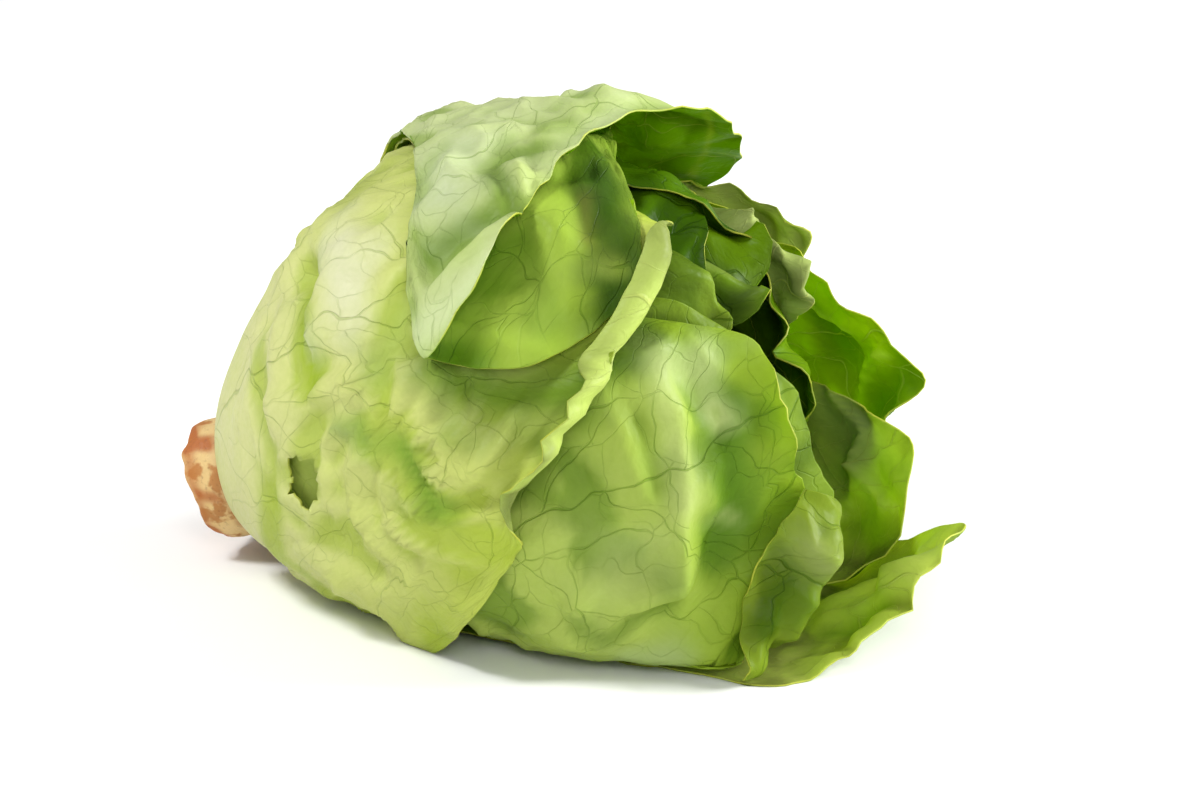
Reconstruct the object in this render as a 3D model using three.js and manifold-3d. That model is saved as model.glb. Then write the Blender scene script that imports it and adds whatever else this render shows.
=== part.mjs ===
// A butterhead lettuce lying on its side: a cut stem, a heart of curled inner leaves
// and broad wrapper leaves laid over one another round it.
// Lengths are in millimetres. X runs from the cut stem to the open crown, -Y is the front, Z is up.
import * as THREE from 'three';
import Module from 'manifold-3d';

// The head: its centre in the part's frame, the tilt of its axis and its height off the ground
const HEAD_CENTRE = new THREE.Vector3(-0.75, 3.62, 52.35);
const AXIS_TILT_DEG = 19;
const FLOOR_DEPTH = 52;

// The ball the leaves wrap: a radius, a neck drawn out toward the stem, a sag below and a shoulder above
const BALL_RADIUS = 66;
const NECK_LENGTH = 27;
const NECK_SPAN_RAD = 0.64;
const SAG = 8;
const SAG_ANGLE_RAD = 1.55;
const SAG_SPAN_RAD = 0.5;
const SHOULDER = 5;
const SHOULDER_ANGLE_RAD = 1.05;
const SHOULDER_SPAN_RAD = 0.5;
const UNDERSIDE_DEPTH = FLOOR_DEPTH - 8;
const UNDERSIDE_SHARPNESS = 10;

// The leaves: blade thickness, the step from layer to layer and the clear gap between two blades
const BLADE = 0.7;
const LAYER_STEP = 0.8;
const CLEAR_GAP = 0.75;
const SETTLE_PASSES = 6;
const CELL_SAMPLES = 6;
const HEART_COLLAR_DEG = 42;
const MAP_STEP_DEG = 1.5;
const BELLY_AT = 0.8;
const BELLY_SPAN = 0.15;
const DEFAULT_STRIP = 9;
const DEFAULT_POWER = 3;
const DEFAULT_WAVES = 3;
const LEAST_CURL_RAD = 0.02;

// The swelling of a blade: its height, its usual wavelength and the steps between its plane waves
const SWELL_HEIGHT = 0.8;
const SWELL_SPAN = 34;
const SWELL_WAVES = 10;
const SWELL_TURN_RAD = 2.39996;
const SWELL_GROWTH = 2.5;

// The ripple of a rim: a long wave and a finer, lower one, and how the seed shifts each
const FINE_RIPPLE = { share: 0.6, finer: 2.3 };
const RIPPLE_SHIFT = [0.13, 0.37];

// How finely a blade is divided, from its foot to its rim and from side to side
const BLADE_ROWS = [0, 0.12, 0.26, 0.41, 0.56, 0.69, 0.79, 0.87, 0.92, 0.96, 1];
const BLADE_COLUMNS = 17;
const HEART_ROWS = [0, 0.25, 0.5, 0.68, 0.82, 0.92, 1];
const HEART_COLUMNS = 12;

// The heart's core, sunk under the inner leaves, and the cut stem
const CORE_SUNK = 13;
const CROWN_SUNK = 16;
const CROWN_FROM_DEG = 105;
const CROWN_TO_DEG = 150;
const CORE_RINGS = 12;
const CORE_SIDES = 24;
const ROOT_DEPTH = 3;
const FOOT_FROM = 0.3;
const FOOT_TO = 0.62;
const STEM_SIDES = 28;
const STEM_PROFILE = [
  [0, 56], [13.5, 56], [15.2, 82], [16.2, 92], [16.4, 99], [15.9, 103.6], [14.6, 104.6], [0, 103.8],
];

// Leaves named by where they lie, in the order they are laid, inside first.
// A base is the span of angles round the stem where the leaf starts, its collar the angle from the stem.
// A rim point is: angle round the axis, angle from the stem, lift off the ball, curl, belly.
const HEART_LEAVES = [
  {
    name: 'heart_low', base: [-130, -70], depth: 10, seed: 41, wave: 1.5, floor: 9, strip: 12,
    rim: [[-155, 62, 0], [-150, 110, 0], [-140, 146, 1], [-120, 160, 3, 20], [-95, 163, 4, -20],
      [-70, 158, 3, 20], [-58, 140, 1], [-50, 105, 0], [-45, 62, 0]],
  },
  {
    name: 'heart_far', base: [-195, -135], depth: 8, seed: 42, wave: 1.5, floor: 9, strip: 12,
    rim: [[-222, 62, 0], [-217, 110, 0], [-205, 146, 1], [-185, 160, 2, 40], [-160, 164, 3, -30],
      [-138, 158, 3, 30], [-126, 142, 1], [-118, 105, 0], [-112, 62, 0]],
  },
  {
    name: 'heart_stub', base: [-45, 15], depth: 7, seed: 43, wave: 1.4, floor: 9, strip: 12,
    rim: [[-66, 62, 0], [-60, 110, 0], [-48, 150, 1], [-25, 168, 3, 40], [0, 172, 4, 70],
      [24, 168, 3, 30], [38, 150, 1], [46, 105, 0], [52, 62, 0]],
  },
  {
    name: 'heart_curl', base: [40, 100], depth: 8, seed: 44, waves: 4, wave: 2.6, strip: 13,
    rim: [[22, 62, 0], [28, 110, 0], [36, 146, 1], [46, 163, 6, -60], [62, 168, 9, 90],
      [80, 166, 9, -50], [95, 160, 7, 90], [106, 146, 1], [114, 105, 0], [120, 62, 0]],
  },
  {
    name: 'heart_upright', base: [50, 92], depth: 5, seed: 49, wave: 0.6,
    rim: [[44, 62, 0], [46, 105, 0], [46, 134, 3], [48, 149, 7], [60, 151, 9, 30], [72, 149, 9, 40],
      [84, 145, 8, 20], [90, 136, 3], [94, 105, 0], [98, 62, 0]],
  },
  {
    name: 'heart_round', base: [0, 58], depth: 7, seed: 45, wave: 0.8, strip: 10,
    rim: [[-20, 62, 0], [-13, 105, 0], [-2, 134, 0], [14, 152, 2], [32, 158, 3, 30], [48, 153, 2, 20],
      [60, 136, 0], [68, 105, 0], [74, 62, 0]],
  },
  {
    name: 'heart_pale', base: [146, 182], depth: 4, seed: 46, wave: 1, strip: 12,
    rim: [[132, 62, 0], [136, 105, 0], [142, 134, 2, 60], [150, 148, 4, 150], [161, 158, 4, 170],
      [173, 157, 3, 80], [184, 140, 0], [192, 100, 0], [197, 62, 0]],
  },
  {
    name: 'heart_long', base: [80, 118], depth: 6, seed: 47, wave: 0.9,
    rim: [[66, 62, 0], [71, 90, 0], [75, 118, 7], [78, 136, 10], [83, 148, 11], [92, 156, 8],
      [102, 154, 2], [112, 142, 0], [120, 126, 0], [126, 95, 0], [130, 62, 0]],
  },
  {
    name: 'heart_edge', base: [-60, 0], seed: 48, wave: 0.6, floor: 9,
    rim: [[-112, 62, 0], [-109, 100, 0], [-105, 126, 6], [-98, 137, 10], [-85, 148, 10], [-70, 156, 9],
      [-46, 164, 8], [-10, 165, 6], [22, 157, 4], [36, 140, 1], [41, 105, 0], [44, 62, 0]],
  },
];

const WRAPPER_LEAVES = [
  {
    name: 'leaf_right', base: [-160, -92], collar: 34, layer: 1, seed: 5, wave: 0.6, floor: 6.8,
    colour: 0x7c9133,
    rim: [[-192, 54, 0], [-184, 72, 0], [-178, 98, 0], [-170, 122, 0], [-160, 135, 1], [-150, 144, 5],
      [-138, 149, 14], [-126, 149, 25], [-115, 145, 28], [-105, 137, 26], [-96, 125, 13],
      [-86, 104, 2], [-78, 75, 0], [-72, 54, 0]],
  },
  {
    name: 'leaf_far_right', base: [150, 215], collar: 31, layer: 2, seed: 3, wave: 0.8, floor: 5.1,
    colour: 0x6c9a1c,
    rim: [[122, 50, 0], [130, 78, 0], [140, 105, 1], [152, 124, 3], [165, 134, 7], [174, 143, 12],
      [184, 147, 17], [196, 149, 21], [208, 151, 24], [219, 149, 24], [230, 138, 9], [238, 105, 0],
      [244, 78, 0], [250, 50, 0]],
  },
  {
    name: 'leaf_front_right', base: [-45, 20], collar: 27, layer: 3, seed: 7, wave: 0.8, floor: 3.4,
    strip: 14, power: 2.2, colour: 0x8faf4a,
    rim: [[-72, 44, 0], [-68, 60, 4], [-65, 80, 22, -30], [-62, 96, 36, -90], [-58, 114, 36, -90],
      [-53, 134, 18, -20], [-46, 150, 11, 20], [-24, 157, 11, 70], [0, 158, 11, 40], [20, 154, 10],
      [26, 144, 8], [31, 130, 4], [36, 108, 1], [41, 74, 0], [46, 44, 0]],
  },
  {
    name: 'leaf_low_right', base: [-70, -92], collar: 30, layer: 4.5, seed: 9, wave: 0.3, floor: 1.7,
    power: 1, colour: 0x80993a,
    mid: [[-84, 142], [-87, 148], [-90, 152]],
    rim: [[-54, 119, 15, 0, 8], [-50, 125, 14, 0, 12], [-46, 132, 13, 0, 13], [-43, 140, 14, 0, 11],
      [-44, 149, 13.5, 0, 6]],
  },
  {
    name: 'leaf_back_top', base: [118, 170], collar: 26, layer: 4, seed: 13, wave: 1.8,
    colour: 0x8aac45,
    rim: [[96, 44, 0], [105, 65, 0], [115, 78, 0], [128, 88, 0], [140, 97, 0], [150, 112, 5],
      [158, 132, 11], [168, 133, 11], [176, 118, 2], [182, 80, 0], [188, 44, 0]],
  },
  {
    name: 'leaf_back_low', base: [-164, -112], collar: 24, layer: 4, seed: 15, wave: 1.2, floor: 1.7,
    colour: 0x9ab457,
    rim: [[-184, 42, 0], [-176, 68, 0], [-162, 93, 2], [-145, 108, 4], [-127, 112, 4], [-114, 98, 3],
      [-107, 72, 0], [-102, 42, 0]],
  },
  {
    name: 'leaf_bottom', base: [-48, -118], collar: 17, layer: 6, seed: 17, wave: 0.9, power: 3.5,
    colour: 0x82993a,
    rim: [[-36, 34, 0], [-41, 50, 0], [-46, 66, 1], [-50, 82, 2], [-54, 100, 8], [-56, 113, 18],
      [-59, 122, 32], [-67, 132, 35, 20], [-80, 140, 35, 30], [-90, 146, 36, 30], [-100, 147, 35, 10],
      [-111, 142, 34], [-121, 118, 10], [-126, 74, 0], [-132, 38, 0]],
  },
  {
    name: 'leaf_back', base: [148, 208], collar: 15, layer: 6, seed: 21, wave: 1.4, colour: 0xa4bd62,
    rim: [[118, 38, 0], [128, 67, 0], [142, 93, 3], [160, 110, 4], [178, 116, 5], [196, 110, 4],
      [210, 92, 3], [222, 66, 0], [230, 38, 0]],
  },
  {
    name: 'leaf_front', base: [-50, 110], collar: 14, layer: 5, seed: 23, wave: 0.15, strip: 19,
    colour: 0xb8c66c,
    rim: [[-64, 26, 4], [-54, 43, 8], [-44, 60, 9], [-35, 73, 10], [-26, 84, 6], [-15, 99, 5, 10],
      [-4, 111, 5, 110], [7, 123, 5, 185], [17, 135, 6, 190], [29, 145, 7, 190], [44, 148, 7, 175],
      [60, 138, 0, 10], [84, 112, 0], [106, 92, 0], [122, 58, 0], [130, 28, 0]],
  },
  {
    name: 'leaf_middle', base: [140, 160], collar: 36, layer: 5, seed: 25, wave: 0.6, colour: 0x96b446,
    mid: [[106, 93], [106, 98], [108, 103], [128, 90], [156, 62]],
    rim: [[25, 91, 7], [21, 100, 9], [19, 109, 9], [21, 117, 7], [28, 125, 4], [37, 131, 2],
      [48, 133, 1], [63, 130, 0], [98, 118, 0], [146, 92, 0]],
  },
  {
    name: 'leaf_top', base: [144, 166], collar: 32, layer: 6, seed: 27, wave: 0.4, colour: 0xa9bd78,
    mid: [[105, 93], [110, 97], [114, 101], [122, 98], [136, 90], [162, 56]],
    rim: [[38, 89, 4, 5], [23, 94, 12, 10], [30, 101, 13, 25], [38, 107, 13, 25], [49, 111, 10, 10],
      [56, 112, 6], [67, 116, 7, 0, 1], [77, 120, 9, 0, 3], [87, 123, 11, 0, 4], [96, 128, 12, 0, 4],
      [104, 132, 15, 0, 2], [112, 133, 17], [121, 131, 16], [131, 126, 15], [140, 121, 14],
      [147, 117, 12], [153, 112, 8], [159, 98, 2], [166, 74, 0]],
  },
];

const HEART_COLOUR = 0x5f7d22;
const STEM_COLOUR = 0xd9bd84;
const LEAF_ROUGHNESS = 0.5;
const STEM_ROUGHNESS = 0.75;

const radians = THREE.MathUtils.degToRad;
const degrees = THREE.MathUtils.radToDeg;
const tilt = radians(AXIS_TILT_DEG);
const AXIS = new THREE.Vector3(Math.cos(tilt), 0, Math.sin(tilt));
const FRONT = new THREE.Vector3(0, -1, 0);
const NORTH = new THREE.Vector3(-Math.sin(tilt), 0, Math.cos(tilt));

// A direction from the head's centre: round the axis from the front, and away from the stem.
function direction(roundDeg, fromStemDeg) {
  const round = radians(roundDeg);
  const fromStem = radians(fromStemDeg);
  return AXIS.clone().multiplyScalar(-Math.cos(fromStem))
    .addScaledVector(FRONT, Math.sin(fromStem) * Math.cos(round))
    .addScaledVector(NORTH, Math.sin(fromStem) * Math.sin(round));
}

// The two angles and the distance of a point from the head's centre.
function polar(point) {
  const along = point.dot(AXIS);
  const front = point.dot(FRONT);
  const north = point.dot(NORTH);
  return {
    round: degrees(Math.atan2(north, front)),
    fromStem: degrees(Math.atan2(Math.hypot(front, north), -along)),
    reach: point.length(),
  };
}

// How far the ball under the leaves reaches in a direction.
function ballRadius(way) {
  const fromStem = Math.acos(THREE.MathUtils.clamp(-way.dot(AXIS), -1, 1));
  const neck = NECK_LENGTH * Math.exp(-((fromStem / NECK_SPAN_RAD) ** 2));
  const upward = way.dot(NORTH);
  const bump = (at, span) => Math.exp(-(((fromStem - at) / span) ** 2));
  const sag = SAG * Math.max(-upward, 0) * bump(SAG_ANGLE_RAD, SAG_SPAN_RAD);
  const shoulder = SHOULDER * Math.max(upward, 0) * bump(SHOULDER_ANGLE_RAD, SHOULDER_SPAN_RAD);
  const round = BALL_RADIUS + neck + sag + shoulder;
  const flat = UNDERSIDE_DEPTH / Math.max(-way.z, 1e-3);
  return (round ** -UNDERSIDE_SHARPNESS + flat ** -UNDERSIDE_SHARPNESS) ** (-1 / UNDERSIDE_SHARPNESS);
}

// A smooth curve through rows of numbers, read at a share of its length.
function spline(points, share) {
  const last = points.length - 1;
  const at = Math.min(Math.max(share, 0), 1) * last;
  const index = Math.min(Math.floor(at), last - 1);
  const part = at - index;
  const value = (row, item) => points[row][item] ?? 0;
  const reading = [];
  for (let item = 0; item < 5; item += 1) {
    const here = value(index, item);
    const next = value(index + 1, item);
    const before = index > 0 ? value(index - 1, item) : 2 * here - next;
    const after = index + 2 <= last ? value(index + 2, item) : 2 * next - here;
    reading.push(0.5 * (2 * here + (next - before) * part
      + (2 * before - 5 * here + 4 * next - after) * part ** 2
      + (3 * here - before - 3 * next + after) * part ** 3));
  }
  return reading;
}

// Soft swelling of a blade: a sum of plane waves, different for each seed.
function swelling(point, seed) {
  const fraction = (number) => number - Math.floor(number);
  let sum = 0;
  for (let wave = 0; wave < SWELL_WAVES; wave += 1) {
    const height = 1 - (2 * (wave + 0.5)) / SWELL_WAVES;
    const turn = SWELL_TURN_RAD * wave + seed;
    const flat = Math.sqrt(1 - height * height);
    const length = SWELL_SPAN * (0.7 + 0.8 * fraction(0.618 * wave + 0.37 * seed));
    const phase = fraction(0.7548 * wave + 0.5698 * seed);
    const along = point.x * flat * Math.cos(turn) + point.y * flat * Math.sin(turn) + point.z * height;
    sum += Math.sin(2 * Math.PI * (along / length + phase));
  }
  return sum / Math.sqrt(SWELL_WAVES / 2);
}

// How far out the leaves already laid reach, kept by direction in small square cells.
class ReachMap {
  constructor() {
    this.step = MAP_STEP_DEG;
    this.rows = 180 / this.step + 1;
    this.columns = 360 / this.step;
    this.cells = new Float64Array(this.rows * this.columns);
  }

  cell(row, column) {
    const inRow = THREE.MathUtils.clamp(row, 0, this.rows - 1);
    const inColumn = ((column % this.columns) + this.columns) % this.columns;
    return inRow * this.columns + inColumn;
  }

  at(round, fromStem) {
    const row = fromStem / this.step;
    const column = round / this.step;
    const lowRow = Math.floor(row);
    const lowColumn = Math.floor(column);
    const down = row - lowRow;
    const across = column - lowColumn;
    return this.cells[this.cell(lowRow, lowColumn)] * (1 - down) * (1 - across)
      + this.cells[this.cell(lowRow + 1, lowColumn)] * down * (1 - across)
      + this.cells[this.cell(lowRow, lowColumn + 1)] * (1 - down) * across
      + this.cells[this.cell(lowRow + 1, lowColumn + 1)] * down * across;
  }

  // Raises every cell a blade passes over, and the cells round it.
  lay(grid) {
    overSurface(grid, (point) => this.raise(polar(point)));
  }

  raise({ round, fromStem, reach }) {
    const row = Math.round(fromStem / this.step);
    const column = Math.round(round / this.step);
    for (let down = -1; down <= 1; down += 1) {
      for (let across = -1; across <= 1; across += 1) {
        const cell = this.cell(row + down, column + across);
        this.cells[cell] = Math.max(this.cells[cell], reach + BLADE);
      }
    }
  }
}

// The middle surface of a leaf before it is laid on the others: rows of points from foot to rim.
function leafSurface(leaf, rows, columns) {
  const grid = rows.map(() => []);
  for (let column = 0; column < columns; column += 1) {
    const across = column / (columns - 1);
    const [round, fromStem, lift, , belly] = spline(leaf.rim, across);
    const foot = direction(THREE.MathUtils.lerp(leaf.base[0], leaf.base[1], across), leaf.collar);
    const rim = direction(round, fromStem);
    const middle = foot.clone().add(rim).normalize();
    const bend = leaf.mid ? direction(...spline(leaf.mid, across)) : middle;
    const waves = leaf.waves ?? DEFAULT_WAVES;
    const [shift, fineShift] = RIPPLE_SHIFT.map((step) => step * leaf.seed);
    const fine = Math.sin(2 * Math.PI * (FINE_RIPPLE.finer * waves * across + fineShift));
    const ripple = Math.sin(2 * Math.PI * (waves * across + shift)) + FINE_RIPPLE.share * fine;
    rows.forEach((out, row) => {
      const way = foot.clone().multiplyScalar((1 - out) ** 2)
        .addScaledVector(bend, 2 * out * (1 - out)).addScaledVector(rim, out ** 2).normalize();
      let reach = ballRadius(way) - (leaf.depth ?? 0) + leaf.layer * LAYER_STEP;
      reach += lift * out ** (leaf.power ?? DEFAULT_POWER);
      reach += belly * Math.exp(-(((out - BELLY_AT) / BELLY_SPAN) ** 2));
      reach += leaf.wave * ripple * out ** 4;
      const swell = swelling(way.clone().multiplyScalar(reach), leaf.seed);
      reach += SWELL_HEIGHT * Math.min(SWELL_GROWTH * out, 1) * swell;
      grid[row].push(way.multiplyScalar(reach));
    });
  }
  return grid;
}

// Rolls the outermost strip of a leaf: outward where its curl is above zero, inward below.
function curlRim(grid, leaf) {
  const strip = leaf.strip ?? DEFAULT_STRIP;
  const columns = grid[0].length;
  for (let column = 0; column < columns; column += 1) {
    const curl = radians(spline(leaf.rim, column / (columns - 1))[3]);
    if (Math.abs(curl) < LEAST_CURL_RAD) continue;
    const path = grid.map((row) => row[column]);
    const lengths = [0];
    for (let row = 1; row < path.length; row += 1) {
      lengths.push(lengths[row - 1] + path[row].distanceTo(path[row - 1]));
    }
    const start = lengths[lengths.length - 1] - strip;
    const fold = Math.max(1, lengths.findIndex((length) => length > start) - 1);
    const along = path[fold + 1].clone().sub(path[fold - 1]).normalize();
    const outward = path[fold].clone().normalize();
    outward.addScaledVector(along, -outward.dot(along)).normalize();
    const bend = curl / strip;
    path.forEach((point, row) => {
      const rolled = lengths[row] - start;
      if (rolled <= 0) return;
      grid[row][column] = point.clone()
        .addScaledVector(along, Math.sin(bend * rolled) / bend - rolled)
        .addScaledVector(outward, (1 - Math.cos(bend * rolled)) / bend);
    });
  }
}

// A point inside one cell of a surface, at a share of the way down and across it.
function pointInCell(grid, row, column, down, across) {
  const near = grid[row][column].clone().lerp(grid[row][column + 1], across);
  const far = grid[row + 1][column].clone().lerp(grid[row + 1][column + 1], across);
  return near.lerp(far, down);
}

// Calls a function for points spread over every cell of a surface.
function overSurface(grid, visit) {
  for (let row = 0; row + 1 < grid.length; row += 1) {
    for (let column = 0; column + 1 < grid[row].length; column += 1) {
      for (let sample = 0; sample < CELL_SAMPLES ** 2; sample += 1) {
        const down = (sample % CELL_SAMPLES) / (CELL_SAMPLES - 1);
        const across = Math.floor(sample / CELL_SAMPLES) / (CELL_SAMPLES - 1);
        visit(pointInCell(grid, row, column, down, across), { row, column, down, across });
      }
    }
  }
}

// Pushes a leaf outward until it clears the leaves under it, and keeps it above the ground.
function settle(grid, map, leaf) {
  for (let pass = 0; pass < SETTLE_PASSES; pass += 1) {
    const push = grid.map((row) => row.map(() => 0));
    overSurface(grid, (point, { row, column, down, across }) => {
      const { round, fromStem, reach } = polar(point);
      const short = map.at(round, fromStem) + CLEAR_GAP - reach;
      const alongRow = [1 - across, across];
      const alongColumn = [1 - down, down];
      const nearest = Math.max(...alongRow) * Math.max(...alongColumn);
      alongColumn.forEach((rowWeight, below) => alongRow.forEach((columnWeight, beside) => {
        const needed = (short * rowWeight * columnWeight) / nearest;
        const corner = push[row + below];
        corner[column + beside] = Math.max(corner[column + beside], needed);
      }));
    });
    grid.forEach((row, down) => row.forEach((point, across) => {
      point.setLength(point.length() + push[down][across]);
      point.z = Math.max(point.z, (leaf.floor ?? 0) - FLOOR_DEPTH);
    }));
  }
}

// One leaf laid over all before it.
function layLeaf(leaf, map, rows, columns) {
  const flat = leafSurface(leaf, rows, columns);
  const curled = flat.map((row) => row.map((point) => point.clone()));
  curlRim(curled, leaf);
  settle(flat, map, leaf);
  settle(curled, map, leaf);
  map.lay(flat);
  return curled;
}

// The outward normals of a surface, from the points round each point.
function surfaceNormals(grid) {
  return grid.map((row, down) => row.map((point, across) => {
    const alongRow = row[Math.min(across + 1, row.length - 1)].clone().sub(row[Math.max(across - 1, 0)]);
    const below = grid[Math.min(down + 1, grid.length - 1)][across];
    const alongColumn = below.clone().sub(grid[Math.max(down - 1, 0)][across]);
    return alongColumn.cross(alongRow).normalize();
  }));
}

// A closed blade from two matching faces, divided alike, joined round their border.
function closedBlade(outer, inner) {
  const rows = outer.length;
  const columns = outer[0].length;
  const points = [...outer.flat(), ...inner.flat()];
  const second = rows * columns;
  const index = (row, column) => row * columns + column;
  const faces = [];
  for (let row = 0; row + 1 < rows; row += 1) {
    for (let column = 0; column + 1 < columns; column += 1) {
      const around = [[0, 0], [1, 0], [1, 1], [0, 1]];
      const corners = around.map(([down, over]) => index(row + down, column + over));
      for (const [a, b, c] of [[0, 1, 2], [0, 2, 3]]) {
        faces.push(corners[a], corners[b], corners[c]);
        faces.push(second + corners[a], second + corners[c], second + corners[b]);
      }
    }
  }
  const border = [];
  for (let column = 0; column < columns; column += 1) border.push(index(0, column));
  for (let row = 1; row < rows; row += 1) border.push(index(row, columns - 1));
  for (let column = columns - 2; column >= 0; column -= 1) border.push(index(rows - 1, column));
  for (let row = rows - 2; row > 0; row -= 1) border.push(index(row, 0));
  border.forEach((here, place) => {
    const next = border[(place + 1) % border.length];
    faces.push(here, next, second + next, here, second + next, second + here);
  });
  return { points, faces };
}

// A blade of even thickness about a middle surface.
function leafBlade(grid) {
  const normals = surfaceNormals(grid);
  const face = (offset) => grid.map((row, down) => row.map((point, across) => {
    const moved = point.clone().addScaledVector(normals[down][across], offset);
    moved.z = Math.max(moved.z, -FLOOR_DEPTH - BLADE / 2);
    return moved;
  }));
  return closedBlade(face(BLADE / 2), face(-BLADE / 2));
}

// How far the heart's core reaches: under its leaves, and sunk further under the open crown.
function coreRadius(way) {
  const { fromStem } = polar(way);
  const crown = THREE.MathUtils.smoothstep(fromStem, CROWN_FROM_DEG, CROWN_TO_DEG);
  const neck = NECK_LENGTH * Math.exp(-((radians(fromStem) / NECK_SPAN_RAD) ** 2));
  return ballRadius(way) - neck - CORE_SUNK - CROWN_SUNK * crown;
}

// An inner leaf: a blade at its rim that thickens toward its foot until it grows out of the core.
function heartBlade(outer) {
  const inner = outer.map((row, down) => row.map((point) => {
    const foot = 1 - THREE.MathUtils.smoothstep(HEART_ROWS[down], FOOT_FROM, FOOT_TO);
    const reach = point.length();
    const rooted = Math.min(coreRadius(point.clone().normalize()) - ROOT_DEPTH, reach - BLADE);
    return point.clone().setLength(THREE.MathUtils.lerp(reach - BLADE, rooted, foot));
  }));
  return closedBlade(outer, inner);
}

// The core: a ball of rings from the stem end to the crown.
function coreSolid() {
  const points = [direction(0, 0), direction(0, 180)];
  for (let ring = 1; ring < CORE_RINGS; ring += 1) {
    for (let side = 0; side < CORE_SIDES; side += 1) {
      points.push(direction((side * 360) / CORE_SIDES, (ring * 180) / CORE_RINGS));
    }
  }
  for (const point of points) point.multiplyScalar(coreRadius(point));
  const index = (ring, side) => 2 + (ring - 1) * CORE_SIDES + (side % CORE_SIDES);
  const faces = [];
  for (let side = 0; side < CORE_SIDES; side += 1) {
    faces.push(0, index(1, side + 1), index(1, side));
    faces.push(1, index(CORE_RINGS - 1, side), index(CORE_RINGS - 1, side + 1));
    for (let ring = 1; ring + 1 < CORE_RINGS; ring += 1) {
      faces.push(index(ring, side), index(ring, side + 1), index(ring + 1, side + 1));
      faces.push(index(ring, side), index(ring + 1, side + 1), index(ring + 1, side));
    }
  }
  return { points, faces };
}

// The cut stem: a turned shape about the head's axis, its flat cut end out at the left.
function stemSolid() {
  const points = [];
  const faces = [];
  const inner = STEM_PROFILE.slice(1, -1);
  points.push(AXIS.clone().multiplyScalar(-STEM_PROFILE[0][1]));
  points.push(AXIS.clone().multiplyScalar(-STEM_PROFILE[STEM_PROFILE.length - 1][1]));
  for (const [radius, along] of inner) {
    for (let side = 0; side < STEM_SIDES; side += 1) {
      const turn = (2 * Math.PI * side) / STEM_SIDES;
      points.push(AXIS.clone().multiplyScalar(-along)
        .addScaledVector(FRONT, radius * Math.cos(turn)).addScaledVector(NORTH, radius * Math.sin(turn)));
    }
  }
  const index = (ring, side) => 2 + ring * STEM_SIDES + (side % STEM_SIDES);
  for (let side = 0; side < STEM_SIDES; side += 1) {
    faces.push(0, index(0, side), index(0, side + 1));
    faces.push(1, index(inner.length - 1, side + 1), index(inner.length - 1, side));
    for (let ring = 0; ring + 1 < inner.length; ring += 1) {
      faces.push(index(ring, side), index(ring + 1, side), index(ring + 1, side + 1));
      faces.push(index(ring, side), index(ring + 1, side + 1), index(ring, side + 1));
    }
  }
  return { points, faces };
}

const wasm = await Module();
wasm.setup();

// The same solid with its faces turned outward, which gives it a volume above zero.
function outwardFacing({ points, faces }) {
  let volume = 0;
  for (let face = 0; face < faces.length; face += 3) {
    const [a, b, c] = [points[faces[face]], points[faces[face + 1]], points[faces[face + 2]]];
    volume += a.dot(b.clone().cross(c));
  }
  if (volume > 0) return { points, faces };
  return { points, faces: [...faces].reverse() };
}

function toManifold({ points, faces }) {
  return new wasm.Manifold(new wasm.Mesh({
    numProp: 3,
    vertProperties: Float32Array.from(points.flatMap((point) => [point.x, point.y, point.z])),
    triVerts: Uint32Array.from(faces),
  }));
}

// Solids joined into one body: a hollow that the join seals is filled, a loose scrap is dropped.
function fused(solids) {
  const whole = solids.map(outwardFacing).map(toManifold).reduce((sum, solid) => sum.add(solid));
  const bodies = whole.decompose().sort((one, other) => other.volume() - one.volume());
  const { vertProperties, triVerts } = bodies[0].getMesh();
  const points = [];
  for (let at = 0; at < vertProperties.length; at += 3) {
    points.push(new THREE.Vector3(vertProperties[at], vertProperties[at + 1], vertProperties[at + 2]));
  }
  return { points, faces: [...triVerts] };
}

function mesh(name, solid, colour, roughness) {
  const { points, faces } = outwardFacing(solid);
  const placed = points.map((point) => point.clone().add(HEAD_CENTRE));
  const geometry = new THREE.BufferGeometry().setFromPoints(placed);
  geometry.setIndex(faces);
  geometry.computeVertexNormals();
  const material = new THREE.MeshStandardMaterial({ color: colour, roughness, metalness: 0 });
  const made = new THREE.Mesh(geometry, material);
  made.name = name;
  return made;
}

const lettuce = new THREE.Group();
lettuce.name = 'butterhead_lettuce';
const laid = new ReachMap();
const heartBlades = HEART_LEAVES.map((leaf) => {
  const inner = { collar: HEART_COLLAR_DEG, layer: 0, ...leaf };
  return heartBlade(layLeaf(inner, laid, HEART_ROWS, HEART_COLUMNS));
});
lettuce.add(mesh('stem', stemSolid(), STEM_COLOUR, STEM_ROUGHNESS));
lettuce.add(mesh('heart', fused([coreSolid(), ...heartBlades]), HEART_COLOUR, LEAF_ROUGHNESS));
for (const leaf of WRAPPER_LEAVES) {
  const blade = leafBlade(layLeaf(leaf, laid, BLADE_ROWS, BLADE_COLUMNS));
  lettuce.add(mesh(leaf.name, blade, leaf.colour, LEAF_ROUGHNESS));
}

export default lettuce;
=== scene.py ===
"""The looks of a butterhead lettuce lying on its side.

The cut stem is at the left, broad wrapper leaves lie over one another round the heart, and the open
crown is at the right. Lengths inside the classes are in millimetres about the head's centre, with X from
the stem to the crown, -Y at the front and Z up. Meshes are written in metres in the part's frame.
"""

import logging
import math
from dataclasses import dataclass, replace
from enum import Enum, IntEnum

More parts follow.
